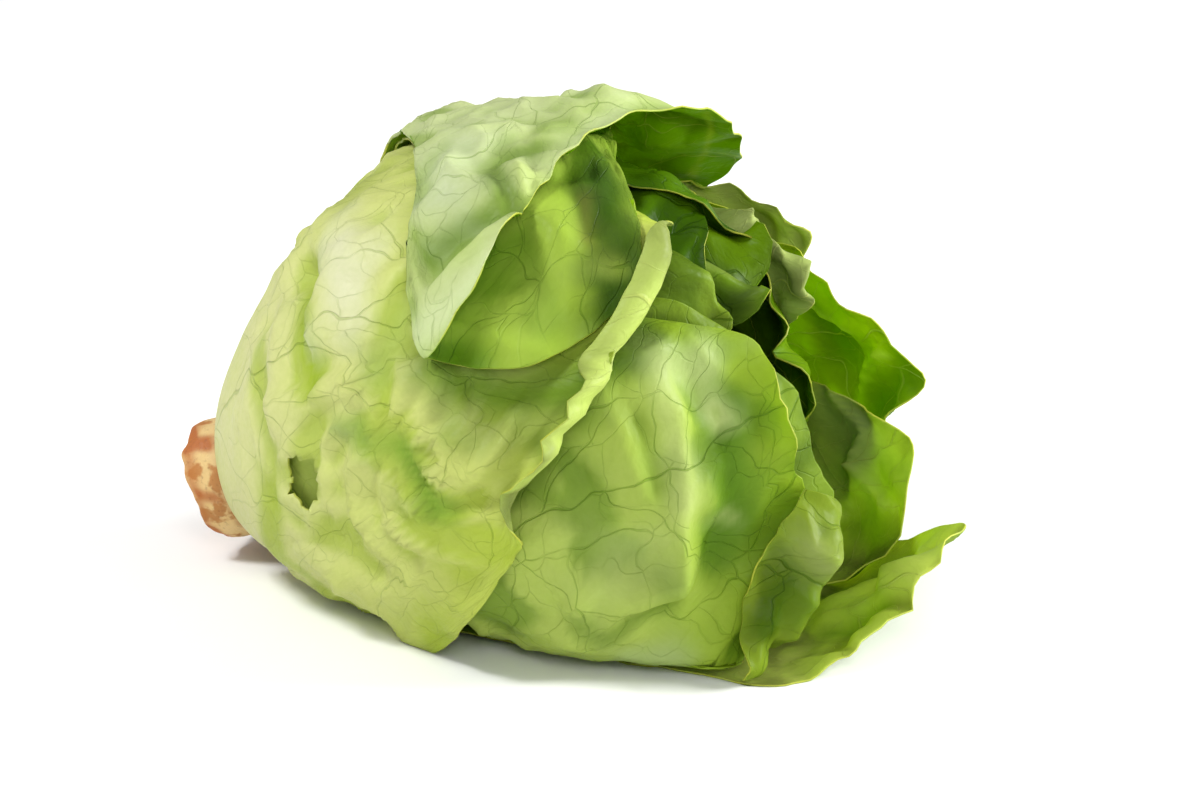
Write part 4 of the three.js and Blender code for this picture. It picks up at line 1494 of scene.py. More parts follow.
WRAPPER_LEAVES = (
    Leaf(
        "leaf_right", (-160, -92), seed=5, collar=34, layer=1, wave=0.6, floor=6.8, frill=0.4,
        colours=RIGHT, slot=Slot.DEEP, crumple=2.2,
        folds=(
            Fold(((0.398, 0.99), (0.476, 0.93), (0.508, 0.875), (0.584, 0.906)), -2.4, 2.6),
            Fold(((0.433, 0.914), (0.541, 0.815), (0.632, 0.875)), 3.4, 6.0),
            Fold(((0.541, 0.93), (0.584, 0.968)), -2.4, 4.0),
            Fold(((0.508, 0.875), (0.56, 0.8)), -2.0, 2.4),
        ),
        stains_and_painted_light=(
            # Painted sheen on the inner face
            StainAndPaintedLight(((0.44, 0.95), (0.5, 0.9)), (206, 218, 158), 9.0, 0.6, True),
            # Painted shade in the groove that the ridge makes on the inner face
            StainAndPaintedLight(((0.433, 0.9), (0.541, 0.815)), (150, 182, 30), 7.0, 0.5, True),
            StainAndPaintedLight(((0.541, 0.93), (0.632, 0.906)), (186, 216, 30), 8.0, 0.5, True),
            StainAndPaintedLight(((0.632, 0.9), (0.6, 0.86)), (120, 154, 14), 6.0, 0.6, True),
            StainAndPaintedLight(((0.398, 0.99), (0.476, 0.93), (0.508, 0.875), (0.584, 0.906), (0.62, 0.96)),
                  (226, 236, 150), 1.0, 0.7, True),
            StainAndPaintedLight(((0.508, 0.875), (0.56, 0.8)), (226, 236, 150), 0.9, 0.6, True),
        ),
        rim=((-192, 54, 0), (-184, 72, 0), (-178, 98, 0), (-170, 122, 0), (-160, 135, 1), (-150, 144, 5),
             (-138, 149, 14), (-126, 149, 25), (-115, 145, 28), (-105, 137, 26), (-96, 125, 13),
             (-86, 104, 2), (-78, 75, 0), (-72, 54, 0)),
    ),
    Leaf(
        "leaf_far_right", (150, 215), seed=3, collar=31, layer=2, wave=0.8, floor=5.1, frill=0.9,
        colours=FAR_RIGHT, slot=Slot.DEEP, crumple=2.4,
        folds=(
            Fold(((0.425, 0.875), (0.474, 0.885), (0.507, 0.936), (0.52, 0.97)), -3.4, 3.0, 5.0),
            Fold(((0.474, 0.85), (0.54, 0.842), (0.61, 0.833)), 4.0, 6.0),
            Fold(((0.573, 0.949), (0.6, 0.9), (0.61, 0.85)), -3.0, 4.0),
            Fold(((0.64, 0.99), (0.62, 0.93), (0.65, 0.88)), 3.4, 3.0, 6.0),
        ),
        stains_and_painted_light=(
            StainAndPaintedLight(((0.507, 0.96), (0.573, 0.949)), (196, 222, 6), 8.0, 0.6, True),
            # Painted shade in the groove that the ridge makes on the inner face
            StainAndPaintedLight(((0.474, 0.85), (0.54, 0.842)), (88, 134, 0), 8.0, 0.7, True),
            StainAndPaintedLight(((0.67, 0.9), (0.647, 0.97)), (80, 122, 0), 8.0, 0.8, True),
            StainAndPaintedLight(((0.425, 0.875), (0.474, 0.885), (0.507, 0.936)), (224, 236, 110), 1.1, 0.75, True),
            StainAndPaintedLight(((0.58, 0.96), (0.6, 0.9), (0.625, 0.84)), (216, 232, 100), 1.0, 0.65, True),
        ),
        rim=((122, 50, 0), (130, 78, 0), (140, 105, 1), (152, 124, 3), (165, 134, 7), (174, 143, 12),
             (184, 147, 17), (196, 149, 21), (208, 151, 24), (219, 149, 24), (230, 138, 9), (238, 105, 0),
             (244, 78, 0), (250, 50, 0)),
    ),
    Leaf(
        "leaf_front_right", (-45, 20), seed=7, collar=27, layer=3, wave=0.8, floor=3.4, strip=14, power=2.2,
        colours=FRONT_RIGHT, slot=Slot.GREEN, frill=0.3,
        folds=(
            Fold(((0.456, 0.589), (0.42, 0.631), (0.429, 0.692), (0.429, 0.745)), 5.5, 12.0, 1.8),
            Fold(((0.6, 0.815), (0.533, 0.788), (0.497, 0.77), (0.44, 0.745)), 5.0, 4.0, 10.0),
            Fold(((0.56, 0.89), (0.521, 0.867), (0.456, 0.858), (0.438, 0.815)), -5.5, 7.0),
            Fold(((0.63, 0.715), (0.572, 0.712), (0.52, 0.712)), 3.4, 8.0),
            Fold(((0.663, 0.858), (0.619, 0.788)), 3.0, 7.0),
            Fold(((0.63, 0.625), (0.56, 0.65), (0.5, 0.64)), -4.0, 5.0),
            Fold(((0.6, 0.755), (0.52, 0.745)), -3.0, 3.5),
            Fold(((0.404, 0.589), (0.36, 0.712), (0.347, 0.842)), 4.0, 6.0),
            Fold(((0.466, 0.567), (0.486, 0.652), (0.509, 0.77), (0.546, 0.914)), -1.3, 1.8),
        ),
        stains_and_painted_light=(
            # Painted shade on the right side, partly the leaf's own deeper green
            StainAndPaintedLight(((0.55, 0.9), (0.521, 0.875), (0.456, 0.866), (0.432, 0.82)), (92, 136, 0), 8.0, 0.9),
            # Painted shadow of leaf_front's rolled strip
            StainAndPaintedLight(((0.653, 0.682), (0.663, 0.76), (0.684, 0.875)), (84, 122, 0), 6.5, 0.9),
            # Painted highlight on the top
            StainAndPaintedLight(((0.625, 0.885), (0.64, 0.83)), (200, 216, 142), 8.0, 0.7),
            # Painted highlight along the ridge of the flap
            StainAndPaintedLight(((0.6, 0.8), (0.5, 0.765)), (200, 214, 134), 6.0, 0.65),
            # Painted highlight on the ridge
            StainAndPaintedLight(((0.476, 0.7), (0.466, 0.64)), (190, 206, 126), 9.0, 0.5),
            # Painted shade in the groove
            StainAndPaintedLight(((0.62, 0.64), (0.56, 0.655)), (118, 148, 40), 6.0, 0.6),
            # Painted shade in the groove
            StainAndPaintedLight(((0.6, 0.752), (0.52, 0.745)), (130, 160, 40), 3.5, 0.7),
            # Painted shadow under the overhanging flap
            StainAndPaintedLight(((0.43, 0.595), (0.402, 0.64), (0.41, 0.7), (0.412, 0.745)), (96, 130, 10), 3.0, 0.65),
            # Painted highlight on the belly roll
            StainAndPaintedLight(((0.36, 0.712), (0.35, 0.8)), (190, 208, 150), 4.5, 0.6),
        ),
        rim=((-72, 44, 0), (-68, 60, 4), (-65, 80, 22, -30), (-62, 96, 36, -90), (-58, 114, 36, -90),
             (-53, 134, 18, -20), (-46, 150, 11, 20), (-24, 157, 11, 70), (0, 158, 11, 40), (20, 154, 10),
             (26, 144, 6), (31, 130, 1), (36, 108, 0), (41, 74, 0), (46, 44, 0)),
    ),
    Leaf(
        "leaf_low_right", (-70, -92), seed=9, collar=30, layer=4.5, wave=0.3, floor=1.7, power=1.0,
        colours=LOW, slot=Slot.DEEP, mid=((-84, 142), (-87, 148), (-90, 152)),
        folds=(
            Fold(((0.264, 0.943), (0.362, 0.936), (0.514, 0.891)), -4.5, 3.0),
            Fold(((0.89, 0.962), (0.703, 0.906), (0.703, 0.85)), 3.4, 4.0),
            Fold(((0.398, 0.858), (0.634, 0.85)), 2.6, 8.0),
            Fold(((0.627, 0.936), (0.56, 0.86)), -2.0, 2.5),
        ),
        stains_and_painted_light=(
            # Painted shade in the slit
            StainAndPaintedLight(((0.264, 0.943), (0.362, 0.936), (0.45, 0.91)), (84, 118, 2), 3.0, 0.7),
            # Painted highlight on the ridge
            StainAndPaintedLight(((0.703, 0.906), (0.634, 0.85)), (200, 212, 140), 5.0, 0.6),
            StainAndPaintedLight(((0.34, 0.87), (0.45, 0.85)), (112, 154, 4), 6.0, 0.6),
        ),
        rim=((-54, 119, 15, 0, 8), (-50, 125, 14, 0, 12), (-46, 132, 13, 0, 13), (-43, 140, 14, 0, 11),
             (-44, 149, 13.5, 0, 6)),
    ),
    Leaf(
        "leaf_back_top", (118, 170), seed=13, collar=26, layer=4, wave=1.8, frill=1.2,
        colours=BACK_TOP, slot=Slot.GREEN,
        rim=((96, 44, 0), (105, 65, 0), (115, 78, 0), (128, 88, 0), (140, 97, 0), (150, 112, 5),
             (158, 132, 11), (168, 133, 11), (176, 118, 2), (182, 80, 0), (188, 44, 0)),
    ),
    Leaf(
        "leaf_back_low", (-164, -112), seed=15, collar=24, layer=4, wave=1.2, floor=1.7,
        colours=PALE, slot=Slot.PALE,
        rim=((-184, 42, 0), (-176, 68, 0), (-162, 93, 2), (-145, 108, 4), (-127, 112, 4), (-114, 98, 3),
             (-107, 72, 0), (-102, 42, 0)),
    ),
    Leaf(
        "leaf_bottom", (-48, -118), seed=17, collar=17, layer=6, wave=0.9, power=3.5, frill=0.5, crumple=2.0,
        colours=CUP, slot=Slot.DEEP,
        folds=(
            Fold(((0.604, 0.87), (0.604, 0.95), (0.66, 0.99)), -3.4, 5.0),
            Fold(((0.748, 0.833), (0.772, 0.891)), 3.4, 5.0),
            Fold(((0.56, 0.92), (0.576, 0.99)), 2.4, 3.0),
        ),
        stains_and_painted_light=(
            # Painted shade in the crease on the inner face
            StainAndPaintedLight(((0.73, 0.8), (0.748, 0.833), (0.772, 0.891)), (96, 130, 8), 7.0, 0.75, True),
            # Painted highlight along the rolled rim
            StainAndPaintedLight(((0.604, 0.93), (0.675, 0.979)), (220, 230, 150), 4.5, 0.6, True),
            # Painted shade in the groove on the inner face
            StainAndPaintedLight(((0.56, 0.9), (0.58, 0.96)), (130, 164, 20), 4.0, 0.7, True),
        ),
        rim=((-36, 34, 0), (-41, 50, 0), (-46, 66, 1), (-50, 82, 2), (-54, 100, 8), (-56, 113, 18),
             (-59, 122, 32), (-67, 132, 35, 20), (-80, 140, 35, 30), (-90, 146, 36, 30), (-100, 147, 35, 10),
             (-111, 142, 34), (-121, 118, 10), (-126, 74, 0), (-132, 38, 0)),
    ),
    Leaf(
        "leaf_back", (148, 208), seed=21, collar=15, layer=6, wave=1.4, colours=PALE, slot=Slot.PALE,
        rim=((118, 38, 0), (128, 67, 0), (142, 93, 3), (160, 110, 4), (178, 116, 5), (196, 110, 4),
             (210, 92, 3), (222, 66, 0), (230, 38, 0)),
    ),
    Leaf(
        "leaf_front", (-50, 110), seed=23, collar=14, layer=5, wave=0.15, strip=19, frill=0.15, crumple=1.6,
        colours=PALE, slot=Slot.PALE,
        folds=(
            Fold(((0.479, 0.589), (0.461, 0.62), (0.399, 0.722)), -7.0, 3.0, 5.0),
            Fold(((0.435, 0.59), (0.37, 0.71)), 2.8, 6.0),
            Fold(((0.485, 0.66), (0.44, 0.76)), 3.2, 6.0),
            Fold(((0.72, 0.365), (0.658, 0.386), (0.607, 0.386), (0.557, 0.398)), -6.5, 3.0, 7.0),
            Fold(((0.76, 0.45), (0.66, 0.45), (0.6, 0.455)), 3.6, 8.0),
            Fold(((0.74, 0.31), (0.6, 0.33)), 2.8, 6.0),
            Fold(((0.557, 0.33), (0.55, 0.43), (0.546, 0.512)), 3.8, 2.5, 7.0),
            Fold(((0.51, 0.5), (0.49, 0.52)), -4.0, 5.0),
            Fold(((0.63, 0.555), (0.59, 0.52), (0.546, 0.512), (0.5, 0.57)), -5.0, 5.0, 3.0),
            Fold(((0.507, 0.578), (0.545, 0.592)), 2.6, 3.0),
            Fold(((0.62, 0.255), (0.5, 0.285), (0.435, 0.275)), -3.0, 4.0),
            Fold(((0.4, 0.27), (0.286, 0.25)), -3.0, 5.0),
            Fold(((0.45, 0.8), (0.465, 0.74)), 4.0, 8.0),
            Fold(((0.47, 0.662), (0.488, 0.712), (0.507, 0.78)), -2.2, 2.5),
            Fold(((0.455, 0.68), (0.434, 0.722), (0.399, 0.815)), -2.2, 2.5),
            Fold(((0.324, 0.33), (0.351, 0.53), (0.395, 0.61)), -1.8, 2.0),
            Fold(((0.3, 0.48), (0.286, 0.66)), 2.4, 10.0),
            Fold(((0.36, 0.35), (0.345, 0.47)), -2.4, 5.0),
        ),
        puckers=(Pucker((0.479, 0.589), 4.2, 24.0, 9, 1.7, 20.0),),
        stains_and_painted_light=(
            # Painted shadow cast by leaf_middle, partly the leaf's own darker green
            StainAndPaintedLight(((0.56, 0.62), (0.536, 0.65), (0.517, 0.73), (0.507, 0.83), (0.52, 0.88)),
                  (104, 140, 10), 9.0, 0.92),
            # Painted shade in the long hollow
            StainAndPaintedLight(((0.69, 0.375), (0.607, 0.386), (0.557, 0.398)), (164, 190, 10), 4.5, 0.8),
            # Painted shade in the valley below the pucker
            StainAndPaintedLight(((0.47, 0.605), (0.395, 0.722)), (112, 158, 20), 4.0, 0.8),
            # Painted shade in the dip beside the pucker
            StainAndPaintedLight(((0.51, 0.5), (0.49, 0.52)), (128, 168, 50), 4.5, 0.7),
            # Painted highlight on the ridge
            StainAndPaintedLight(((0.7, 0.45), (0.64, 0.455)), (244, 243, 214), 9.0, 0.7),
            # Painted shade in the groove, where leaf_top's shadow falls
            StainAndPaintedLight(((0.61, 0.54), (0.56, 0.52)), (176, 198, 96), 5.0, 0.6),
            StainAndPaintedLight(((0.804, 0.567), (0.78, 0.5)), (178, 192, 84), 7.0, 0.7),
            # Painted shade in the groove
            StainAndPaintedLight(((0.42, 0.28), (0.33, 0.27)), (182, 202, 60), 5.0, 0.6),
        ),
        tears=(Tear((0.438, 0.375), 7.6, 7.0, 1.8),),
        rim=((-64, 26, 6), (-54, 43, 12), (-44, 60, 13), (-35, 73, 12), (-26, 84, 7), (-15, 99, 5, 10),
             (-5, 112, 5, 120), (5, 124, 5, 190), (15, 136, 6, 195), (28, 145, 7, 195), (44, 148, 7, 175),
             (60, 138, 0, 10), (84, 112, 0), (106, 92, 0), (122, 58, 0), (130, 28, 0)),
    ),
    Leaf(
        "leaf_middle", (140, 160), seed=25, collar=36, layer=5, wave=0.6, colours=MIDDLE, slot=Slot.GREEN,
        frill=0.3,
        folds=(
            Fold(((0.545, 0.7), (0.5, 0.76), (0.453, 0.842)), -4.0, 4.0),
            Fold(((0.4, 0.66), (0.37, 0.84), (0.35, 0.92)), 3.2, 9.0, 6.0),
            Fold(((0.22, 0.72), (0.2, 0.88)), 2.6, 9.0),
            Fold(((0.28, 0.74), (0.29, 0.93)), -1.6, 4.0),
        ),
        stains_and_painted_light=(
            # Painted shade on the right side
            StainAndPaintedLight(((0.52, 0.74), (0.499, 0.815), (0.51, 0.914), (0.48, 0.99)), (52, 88, 0), 9.5, 0.96),
            # Painted shade along the lower left of the rim
            StainAndPaintedLight(((0.000, 0.985), (0.06, 0.985), (0.13, 0.987)), (92, 134, 6), 7.0, 0.85),
            StainAndPaintedLight(((0.454, 0.779), (0.422, 0.85)), (104, 96, 40), 3.0, 0.5),
            StainAndPaintedLight(((0.3, 0.86), (0.269, 0.956)), (182, 210, 84), 9.0, 0.6),
        ),
        mid=((106, 93), (106, 98), (108, 103), (128, 90), (156, 62)),
        rim=((25, 91, 7), (21, 100, 9), (19, 109, 9), (21, 117, 7), (26, 125, 4), (35, 132, 2),
             (48, 133, 1), (63, 130, 0), (98, 118, 0), (146, 92, 0)),
    ),
    Leaf(
        "leaf_top", (144, 166), seed=27, collar=32, layer=6, wave=0.25, frill=0.12,
        colours=WAXY, slot=Slot.GREEN,
        folds=(
            Fold(((0.22, 0.99), (0.189, 0.968), (0.154, 0.945), (0.104, 0.914), (0.054, 0.906),
                  (0.0, 0.915)), 5.5, 8.0, 2.2),
            Fold(((0.15, 0.89), (0.11, 0.865), (0.066, 0.845), (0.03, 0.84)), -4.0, 5.0),
            Fold(((0.225, 1.0), (0.196, 0.929), (0.183, 0.85), (0.169, 0.797), (0.196, 0.788),
                  (0.289, 0.858), (0.343, 0.943)), -6.0, 2.5, 3.5),
            Fold(((0.235, 0.95), (0.215, 0.85), (0.245, 0.83), (0.31, 0.9)), 4.5, 5.0),
            Fold(((0.3, 0.36), (0.33, 0.56), (0.36, 0.68)), 3.0, 3.0, 5.0),
            Fold(((0.36, 0.38), (0.38, 0.52), (0.43, 0.66)), 3.0, 3.0, 5.0),
            Fold(((0.33, 0.36), (0.36, 0.54), (0.4, 0.7)), -2.5, 2.5),
            Fold(((0.085, 0.641), (0.124, 0.788), (0.161, 0.9)), 1.1, 1.6),
            Fold(((0.26, 0.3), (0.27, 0.62)), 1.8, 6.0),
        ),
        stains_and_painted_light=(
            # Painted shade in the hollow
            StainAndPaintedLight(((0.15, 0.885), (0.11, 0.86), (0.066, 0.84)), (122, 154, 56), 5.0, 0.8),
            # Pale wax bloom, partly painted sheen where the light falls
            StainAndPaintedLight(((0.091, 0.77), (0.12, 0.7)), (224, 233, 198), 9.0, 0.55),
            # Pale wax bloom along the flared rim, partly painted sheen
            StainAndPaintedLight(((0.16, 1.0), (0.11, 0.985), (0.05, 0.96)), (232, 239, 194), 8.0, 0.75),
            # Pale wax bloom, partly painted sheen where the light falls
            StainAndPaintedLight(((0.33, 0.99), (0.41, 0.949), (0.44, 0.93)), (226, 235, 184), 7.0, 0.6),
            # Painted shade in the groove
            StainAndPaintedLight(((0.225, 1.0), (0.196, 0.929), (0.183, 0.85), (0.169, 0.797), (0.196, 0.788),
                   (0.289, 0.858)), (116, 146, 48), 3.0, 0.75),
            StainAndPaintedLight(((0.6, 0.98), (0.7, 0.93), (0.788, 0.899), (0.86, 0.899)),
                  (180, 208, 60), 0.8, 0.55, True),
            StainAndPaintedLight(((0.788, 0.899), (0.807, 0.99)), (180, 208, 60), 0.7, 0.55, True),
        ),
        mid=((105, 93), (110, 97), (114, 101), (122, 98), (136, 90), (162, 56)),
        rim=((38, 89, 4, 5), (23, 94, 12, 10), (30, 101, 13, 25), (38, 107, 13, 25), (49, 111, 10, 10),
             (56, 112, 6), (67, 116, 7, 0, 1), (77, 120, 9, 0, 3), (87, 123, 11, 0, 4),
             (96, 127, 11.5, 0, 4), (104, 130, 13, 0, 3), (113, 131.5, 13), (122, 131, 12), (132, 128, 11.5),
             (141, 124.5, 11.5), (148, 119.5, 11), (153, 112, 8), (159, 98, 2), (166, 74, 0)),
    ),
)


def add_mesh(name: str, points: Array, faces: Array, colours: Array) -> bpy.types.Object:
    """Adds a smooth mesh of four-sided faces with a colour for each point.

    Args:
        name: The object's name.
        points: Points in millimetres about the head's centre.
        faces: Rows of four point numbers.
        colours: Linear colours of the points.

    Returns:
        The object.
    """
    mesh = bpy.data.meshes.new(name)
    placed = (points + np.array(HEAD.centre)) * MM
    mesh.from_pydata(placed.tolist(), [], faces.tolist())
    mesh.polygons.foreach_set("use_smooth", np.ones(len(faces), bool))
    tint = mesh.color_attributes.new("tint", "FLOAT_COLOR", "POINT")
    cover = np.ones((len(points), 1))
    tint.data.foreach_set("color", np.hstack([colours, cover]).astype(np.float32).ravel())
    piece = bpy.data.objects.new(name, mesh)
    bpy.context.scene.collection.objects.link(piece)
    return piece


def add_flat(mesh: bpy.types.Mesh, faces: Array, flat: Array) -> None:
    """Stores the points' flat coordinates as the mesh's own map."""
    layer = mesh.uv_layers.new(name="blade")
    layer.data.foreach_set("uv", flat[faces.ravel()].astype(np.float32).ravel())


def with_ends(rings: Array) -> Array:
    """Lists the points of a body of rings, and then the middles of its first and last ring."""
    return np.concatenate([rings.reshape(-1, 3), [rings[0].mean(0), rings[-1].mean(0)]])


def ring_faces(rings: int, sides: int) -> Array:
    """Lists the faces between rings, and a fan round a middle point that closes each end.

    A face of a fan spans two sides of the ring, so that it has four corners too.

    Args:
        rings: How many rings there are.
        sides: How many points each ring has.

    Returns:
        Rows of four point numbers, facing outward where the rings turn counter-clockwise seen from the last.
    """
    ring, side = np.meshgrid(np.arange(rings - 1), np.arange(sides), indexing="ij")
    first, beside = ring * sides + side, ring * sides + (side + 1) % sides
    quads = np.stack([first, beside, beside + sides, first + sides], axis=-1).reshape(-1, 4)
    around = np.arange(0, sides, 2)
    fan = np.stack([around, (around + 1) % sides, (around + 2) % sides], axis=-1)
    count = rings * sides
    start = np.insert(fan[:, ::-1], 3, count, axis=1)
    end = np.insert(fan + count - sides, 3, count + 1, axis=1)
    return np.concatenate([quads, start, end])


def place_piece(piece: bpy.types.Object, node: str) -> None:
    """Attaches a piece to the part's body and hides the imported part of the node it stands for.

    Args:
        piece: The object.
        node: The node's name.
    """
    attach(piece, BODY)
    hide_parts(node)
    LOG.info("%s: %d faces", piece.name, len(piece.data.polygons))


@dataclass
class LeafPiece:
    """A closed blade made from a leaf's two faces.

    Attributes:
        leaf: The leaf.
        node: The node it stands for.
    """

    leaf: Leaf
    node: str

    def build(self, below: ReachMap, materials: dict[Slot, Material], rim: Material) -> None:
        """Lays the leaf and makes its mesh.

        Args:
            below: The leaves already laid.
            materials: The finish of each slot.
            rim: The finish of its edge.
        """
        blade = self.leaf.laid(below)
        rows, columns = blade.points.shape[:2]
        count = rows * columns
        out = self.leaf.shares()[0][:, None, None]
        half = 0.5 * blend(BLADE, RIM_BLADE, smoothstep(THIN_FROM, 1.0, out))
        outer = blade.points + half * blade.normals
        inner = blade.points - half * blade.normals
        points = np.concatenate([outer.reshape(-1, 3), inner.reshape(-1, 3)])
        points[:, 2] = np.maximum(points[:, 2], -HEAD.floor_depth - BLADE / 2)
        faces, walls = self.faces(blade, count, columns)
        used, numbers = np.unique(np.concatenate([faces, walls]).ravel(), return_inverse=True)
        joined = numbers.reshape(-1, 4)
        colours = np.concatenate([blade.outer.reshape(-1, 3), blade.inner.reshape(-1, 3)])[used]
        piece = add_mesh(self.leaf.name + "_blade", points[used], joined, colours)
        mesh = piece.data
        flags = np.concatenate([np.zeros(count), np.ones(count)])[used]
        mesh.attributes.new("inner", "FLOAT", "POINT").data.foreach_set("value", flags.astype(np.float32))
        shift = np.array([UV_REPEAT, UV_SHIFT]) * self.leaf.seed
        add_flat(mesh, joined, np.concatenate([blade.flat.reshape(-1, 2)] * 2)[used] / UV_UNIT + shift)
        mesh.materials.append(materials[self.leaf.slot])
        mesh.materials.append(rim)
        kind = np.concatenate([np.zeros(len(faces), np.int32), np.ones(len(walls), np.int32)])
        mesh.polygons.foreach_set("material_index", kind)
        place_piece(piece, self.node)

    def faces(self, blade: Blade, count: int, columns: int) -> tuple[Array, Array]:
        """Lists the faces of both sides and the walls that join them round every border.

        Args:
            blade: The blade.
            count: How many points each side has.
            columns: How many points each row has.

        Returns:
            The sides' faces and the walls.
        """
        row, column = np.nonzero(blade.kept)
        first = row * columns + column
        quads = np.stack([first, first + columns, first + columns + 1, first + 1], axis=-1)
        ring = blade.points.reshape(-1, 3)[quads]
        turned = np.cross(ring[:, 2] - ring[:, 0], ring[:, 3] - ring[:, 1])
        facing = (turned * blade.normals.reshape(-1, 3)[quads[:, 0]]).sum()
        if facing < 0:
            quads = quads[:, ::-1]
        start = quads.ravel()
        end = np.roll(quads, -1, axis=1).ravel()
        border = ~np.isin(start * count + end, end * count + start)
        a, b = start[border], end[border]
        walls = np.stack([b, a, a + count, b + count], axis=-1)
        return np.concatenate([quads, quads[:, TURNED_OVER] + count]), walls


@dataclass
class CorePiece:
    """The heart's core: a ball of small leaves that overlap in a whorl, under the inner leaves.

    Attributes:
        rings: How many rings it has from the stem to the crown.
        sides: How many points each ring has.
        span_deg: The first and last ring's angle from the stem.
        leaves: How many leaves overlap in the whorl.
        turns_per_degree: How far the leaves' edges wind from the stem to the crown.
        wander: How far the edges wander, as a share of a leaf's width, and the wavelength of it.
        rise: Where a leaf rises toward its edge, as shares of its width.
        drop: Where it drops behind the edge.
        closing_deg: The angles from the stem over which the edges die away at the crown.
        step: How high each leaf's edge stands over the next one.
        sunk: How far the leaves are let into the ball, as a share of that height.
        ridge: The height and wavelength of the ridges on the leaves.
        lit_deg: The angles from the stem over which the leaves grow lighter.
        lit_share: How light the edges are away from the crown.
        deep: The colour in the depths.
        lit: The colour of the edges at the crown.
    """

    rings: int = 90
    sides: int = 180
    span_deg: tuple[float, float] = (1.0, 179.0)
    leaves: int = 6
    turns_per_degree: float = 0.022
    wander: tuple[float, float] = (0.3, 34.0)
    rise: tuple[float, float] = (0.0, 0.85)
    drop: tuple[float, float] = (1.0, 0.9)
    closing_deg: tuple[float, float] = (178.0, 160.0)
    step: float = 4.0
    sunk: float = 0.6
    ridge: tuple[float, float] = (1.5, 24.0)
    # lit_deg: The angles from the stem over which the painted light on the leaves grows toward the crown.
    lit_deg: tuple[float, float] = (120.0, 165.0)
    # lit_share: How much painted light the edges get away from the crown.
    lit_share: float = 0.25
    # deep: The colour in the depths, a painted shade.
    deep: Colour = (40, 70, 2)
    # lit: The colour of the edges at the crown, a painted light.
    lit: Colour = (122, 158, 34)

    def build(self, material: Material) -> None:
        """Makes the mesh: a ball whose reach rises to each leaf's edge and drops, plus ridged noise.

        Args:
            material: Its finish.
        """
        away = np.linspace(*self.span_deg, self.rings)[:, None]
        turn = np.linspace(0.0, 360.0, self.sides, endpoint=False)[None, :]
        way = HEAD.direction(turn + 0 * away, away + 0 * turn)
        reach = HEAD.core(way)
        ball = way * reach[..., None]
        wander = self.wander[0] * WaveNoise(Draw.CORE_EDGES, self.wander[1]).at(ball)
        across = (self.leaves * turn / 360.0 + self.turns_per_degree * away + wander) % 1.0
        edge = smoothstep(*self.rise, across) * smoothstep(*self.drop, across)
        edge = edge * smoothstep(*self.closing_deg, away)
        ridges = self.ridge[0] * (1 - np.abs(WaveNoise(Draw.CORE_RIDGES, self.ridge[1]).at(ball)))
        reach = reach + ridges + self.step * (edge - self.sunk)
        points = with_ends(way * reach[..., None])
        faces = ring_faces(self.rings, self.sides)[:, TURNED_OVER]
        # Painted shade in the core's depths, and painted light on the leaves' edges that grows toward the
        # crown
        deep, lit = linear(self.deep), linear(self.lit)
        crown = blend(self.lit_share, 1.0, smoothstep(*self.lit_deg, away))
        colours = np.concatenate([blend(deep, lit, (edge**2 * crown).reshape(-1, 1)), [deep, lit]])
        piece = add_mesh("heart_core", points, faces, colours)
        add_flat(piece.data, faces, points[:, 1:] / UV_UNIT)
        piece.data.materials.append(material)
        place_piece(piece, "heart")


